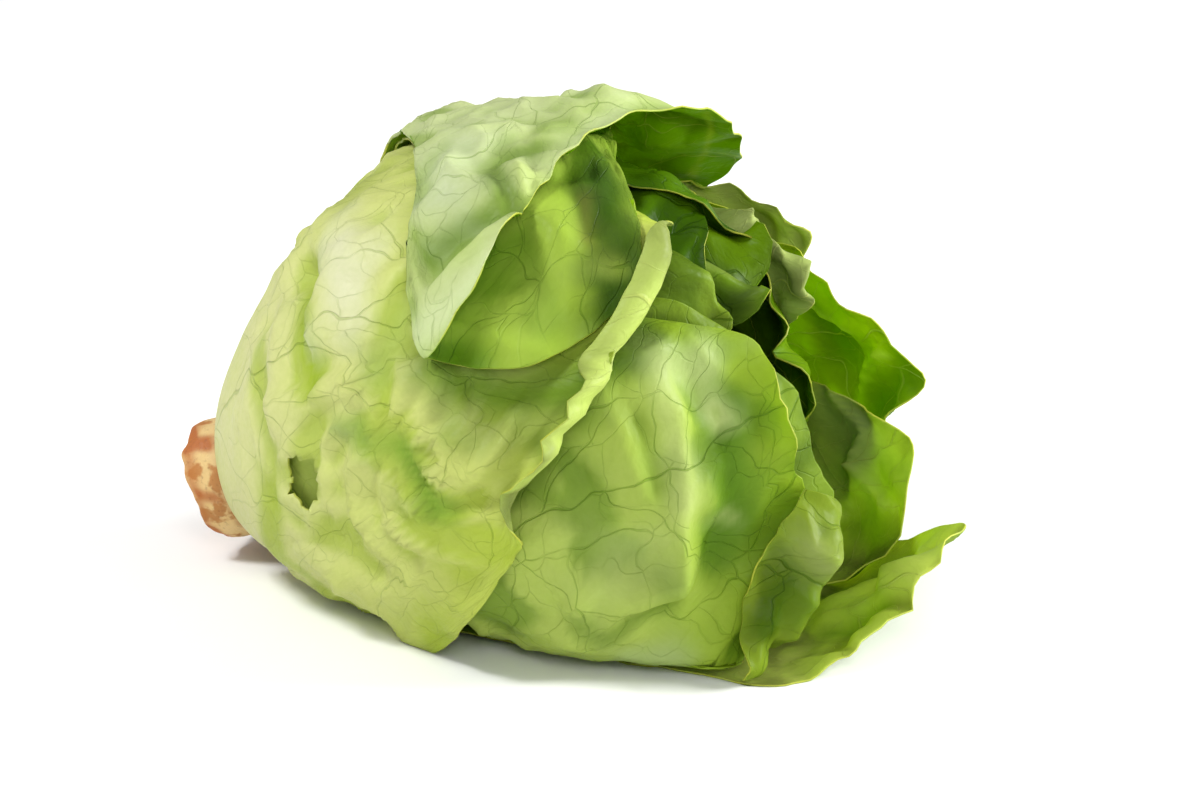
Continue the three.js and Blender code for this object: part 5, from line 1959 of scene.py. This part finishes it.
@dataclass
class StemPiece:
    """The cut stem, turned about the head's axis, with scars where leaves were pulled off.

    Attributes:
        profile: Radius and distance from the head's centre of each ring.
        sides: How many points each ring has.
        rings: How many rings it has.
        lumps: The height and wavelength of its lumps.
        grain: The height and wavelength of its finer lumps.
        scar_band: Where along the stem the scars lie, and how far they spread.
        scar_depth: How deep the scars are.
        scar_length: The wavelength of the scars.
        dried_length: The wavelength of the dried bands.
        dried_from: Between which distances the dried bands start.
        dried_rim: Where the dried rim of the cut lies, and how far it spreads.
        rim_share: How strongly the rim is dried.
        pale_to: Between which distances the pale green ends.
        cream: The colour of the flesh.
        brown: The colour of what is dried.
        pale: The colour next to the leaves.
    """

    profile: Points = (
        (13.5, 56.0), (15.2, 82.0), (16.2, 92.0), (16.4, 99.0),
        (15.9, 103.0), (14.6, 104.2), (8.0, 104.4), (0.4, 103.8),
    )
    sides: int = 120
    rings: int = 90
    lumps: tuple[float, float] = (0.5, 12.0)
    grain: tuple[float, float] = (0.25, 5.0)
    scar_band: tuple[float, float] = (98.0, 4.0)
    scar_depth: float = 0.8
    scar_length: float = 9.0
    dried_length: float = 11.0
    dried_from: tuple[float, float] = (90.0, 97.0)
    dried_rim: tuple[float, float] = (102.6, 1.6)
    rim_share: float = 0.7
    pale_to: tuple[float, float] = (94.0, 86.0)
    cream: Colour = (220, 188, 126)
    brown: Colour = (172, 98, 40)
    pale: Colour = (220, 214, 146)

    def build(self, material: Material) -> None:
        """Makes the mesh: a turned profile with lumps, scars and a rough cut face.

        Args:
            material: Its finish.
        """
        shape = spline(self.profile, np.linspace(0.0, 1.0, self.rings), 2)
        turn = np.linspace(0.0, 2 * np.pi, self.sides, endpoint=False)
        axis, front, north = HEAD.axes()
        spoke = np.cos(turn)[:, None] * front + np.sin(turn)[:, None] * north
        rings = shape[:, :1, None] * spoke - shape[:, 1:, None] * axis
        along = shape[:, 1:]
        lumps = self.lumps[0] * WaveNoise(Draw.STEM_LUMPS, self.lumps[1]).at(rings)
        lumps = lumps + self.grain[0] * WaveNoise(Draw.STEM_GRAIN, self.grain[1]).at(rings)
        scars = smoothstep(0.2, 1.2, WaveNoise(Draw.STEM_SCARS, self.scar_length).at(rings))
        scars = scars * bell(along, *self.scar_band)
        rings = rings + (lumps - self.scar_depth * scars)[..., None] * unit(rings)
        bands = smoothstep(0.1, 1.1, WaveNoise(Draw.STEM_BANDS, self.dried_length).at(rings))
        dried = bands * smoothstep(*self.dried_from, along) + self.rim_share * bell(along, *self.dried_rim)
        cream, brown, pale = linear(self.cream), linear(self.brown), linear(self.pale)
        colours = blend(cream, brown, np.clip(dried, 0.0, 1.0)[..., None])
        colours = blend(colours, pale, smoothstep(*self.pale_to, along)[..., None])
        tints = np.concatenate([colours.reshape(-1, 3), [pale, cream]])
        piece = add_mesh("stem_cut", with_ends(rings), ring_faces(self.rings, self.sides), tints)
        piece.data.materials.append(material)
        place_piece(piece, "stem")


@dataclass(frozen=True)
class AreaLight:
    """A square soft light aimed at the head.

    Attributes:
        name: Its name.
        place: Its place in metres.
        power: Its power in watts.
        size: Its side in metres.
    """

    name: str
    place: tuple[float, float, float]
    power: float
    size: float

    def build(self, aim: Vector) -> None:
        """Adds the light.

        Args:
            aim: The point it faces.
        """
        lamp = bpy.data.lights.new(self.name, "AREA")
        lamp.energy = self.power
        lamp.size = self.size
        holder = bpy.data.objects.new(self.name, lamp)
        holder.location = self.place
        holder.rotation_euler = (aim - Vector(self.place)).to_track_quat("-Z", "Y").to_euler()
        bpy.context.scene.collection.objects.link(holder)


@dataclass(frozen=True)
class Studio:
    """The floor, the soft lights and the camera.

    Attributes:
        azimuth_deg: How far the camera stands round to the right of the front.
        elevation_deg: How far it looks down.
        distance: How far it stands from the head's centre in metres.
        scale: Metres in one pixel at the head's centre.
        centre_px: Where the head's centre lies across the picture.
        width_px: The picture's width.
        sensor: The width of the camera's sensor in millimetres.
        floor_size: The floor's side in metres.
        floor_shades: The floor's two greys.
        floor_patch: The pattern by which they change.
        floor_rough: The floor's roughness.
        world_light: The strength of the even light from all sides.
        lights: The soft lights.
    """

    azimuth_deg: float = 21.0
    elevation_deg: float = 18.0
    distance: float = 1.6
    scale: float = 0.00026
    centre_px: float = 560.0
    width_px: float = 1200.0
    sensor: float = 36.0
    floor_size: float = 8.0
    floor_shades: tuple[float, float] = (0.93, 0.96)
    floor_patch: Noise = Noise(3.0, 2.0)
    floor_rough: float = 0.9
    world_light: float = 0.38
    lights: tuple[AreaLight, ...] = (
        AreaLight("key", (-0.60, -0.42, 1.10), 11.0, 0.30),
        AreaLight("front", (0.55, -1.10, 0.75), 6.0, 0.5),
        AreaLight("glow", (1.0, 0.5, 0.5), 23.0, 0.6),
    )

    def build(self) -> None:
        """Adds the floor, the lights and the camera."""
        aim = Vector(HEAD.centre) * MM
        self.add_floor()
        for light in self.lights:
            light.build(aim)
        world = bpy.data.worlds.new("studio")
        world.use_nodes = True
        sky = world.node_tree.nodes["Background"]
        sky.inputs["Color"].default_value = (1.0, 1.0, 1.0, 1.0)
        sky.inputs["Strength"].default_value = self.world_light
        scene = bpy.context.scene
        scene.world = world
        scene.view_settings.view_transform = "Standard"
        camera = bpy.data.cameras.new("camera")
        camera.sensor_width = self.sensor
        camera.lens = self.sensor * self.distance / (self.width_px * self.scale)
        camera.shift_x = (self.width_px / 2 - self.centre_px) / self.width_px
        turn, rise = math.radians(self.azimuth_deg), math.radians(self.elevation_deg)
        level = math.cos(rise)
        back = Vector((math.sin(turn) * level, -math.cos(turn) * level, math.sin(rise)))
        holder = bpy.data.objects.new("camera", camera)
        holder.location = aim + self.distance * back
        holder.rotation_euler = (-back).to_track_quat("-Z", "Y").to_euler()
        scene.collection.objects.link(holder)
        scene.camera = holder

    def add_floor(self) -> None:
        """Adds a plain pale floor."""
        half = self.floor_size / 2
        mesh = bpy.data.meshes.new("floor")
        corners = [(-half, -half, 0.0), (half, -half, 0.0), (half, half, 0.0), (-half, half, 0.0)]
        mesh.from_pydata(corners, [], [(0, 1, 2, 3)])
        material, nodes = fresh_material("floor")
        place = nodes.add("ShaderNodeTexCoord").outputs["Object"]
        dark, light = ((shade, shade, shade, 1.0) for shade in self.floor_shades)
        colour = nodes.mixed(nodes.noise(place, self.floor_patch), dark, light)
        paper = {"Base Color": colour, "Roughness": self.floor_rough}
        nodes.surface(nodes.add("ShaderNodeBsdfPrincipled", paper))
        mesh.materials.append(material)
        floor = bpy.data.objects.new("floor", mesh)
        bpy.context.scene.collection.objects.link(floor)


def write_sizes() -> None:
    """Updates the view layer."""
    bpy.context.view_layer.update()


def main() -> None:
    """Builds the head from the inside out, then the studio."""
    logging.basicConfig(level=logging.INFO, format="%(name)s %(message)s")
    materials = {slot: finish.build() for slot, finish in FINISHES.items()}
    rim = RIM.build()
    laid = ReachMap()
    StemPiece().build(STEM_FINISH.build())
    CorePiece().build(materials[Slot.HEART])
    for leaf in HEART_LEAVES:
        LeafPiece(replace(leaf, rows=HEART_ROWS, columns=HEART_COLUMNS), "heart").build(laid, materials, rim)
    for leaf in WRAPPER_LEAVES:
        LeafPiece(leaf, leaf.name).build(laid, materials, rim)
    Studio().build()
    write_sizes()


if __name__ == "__main__":
    main()
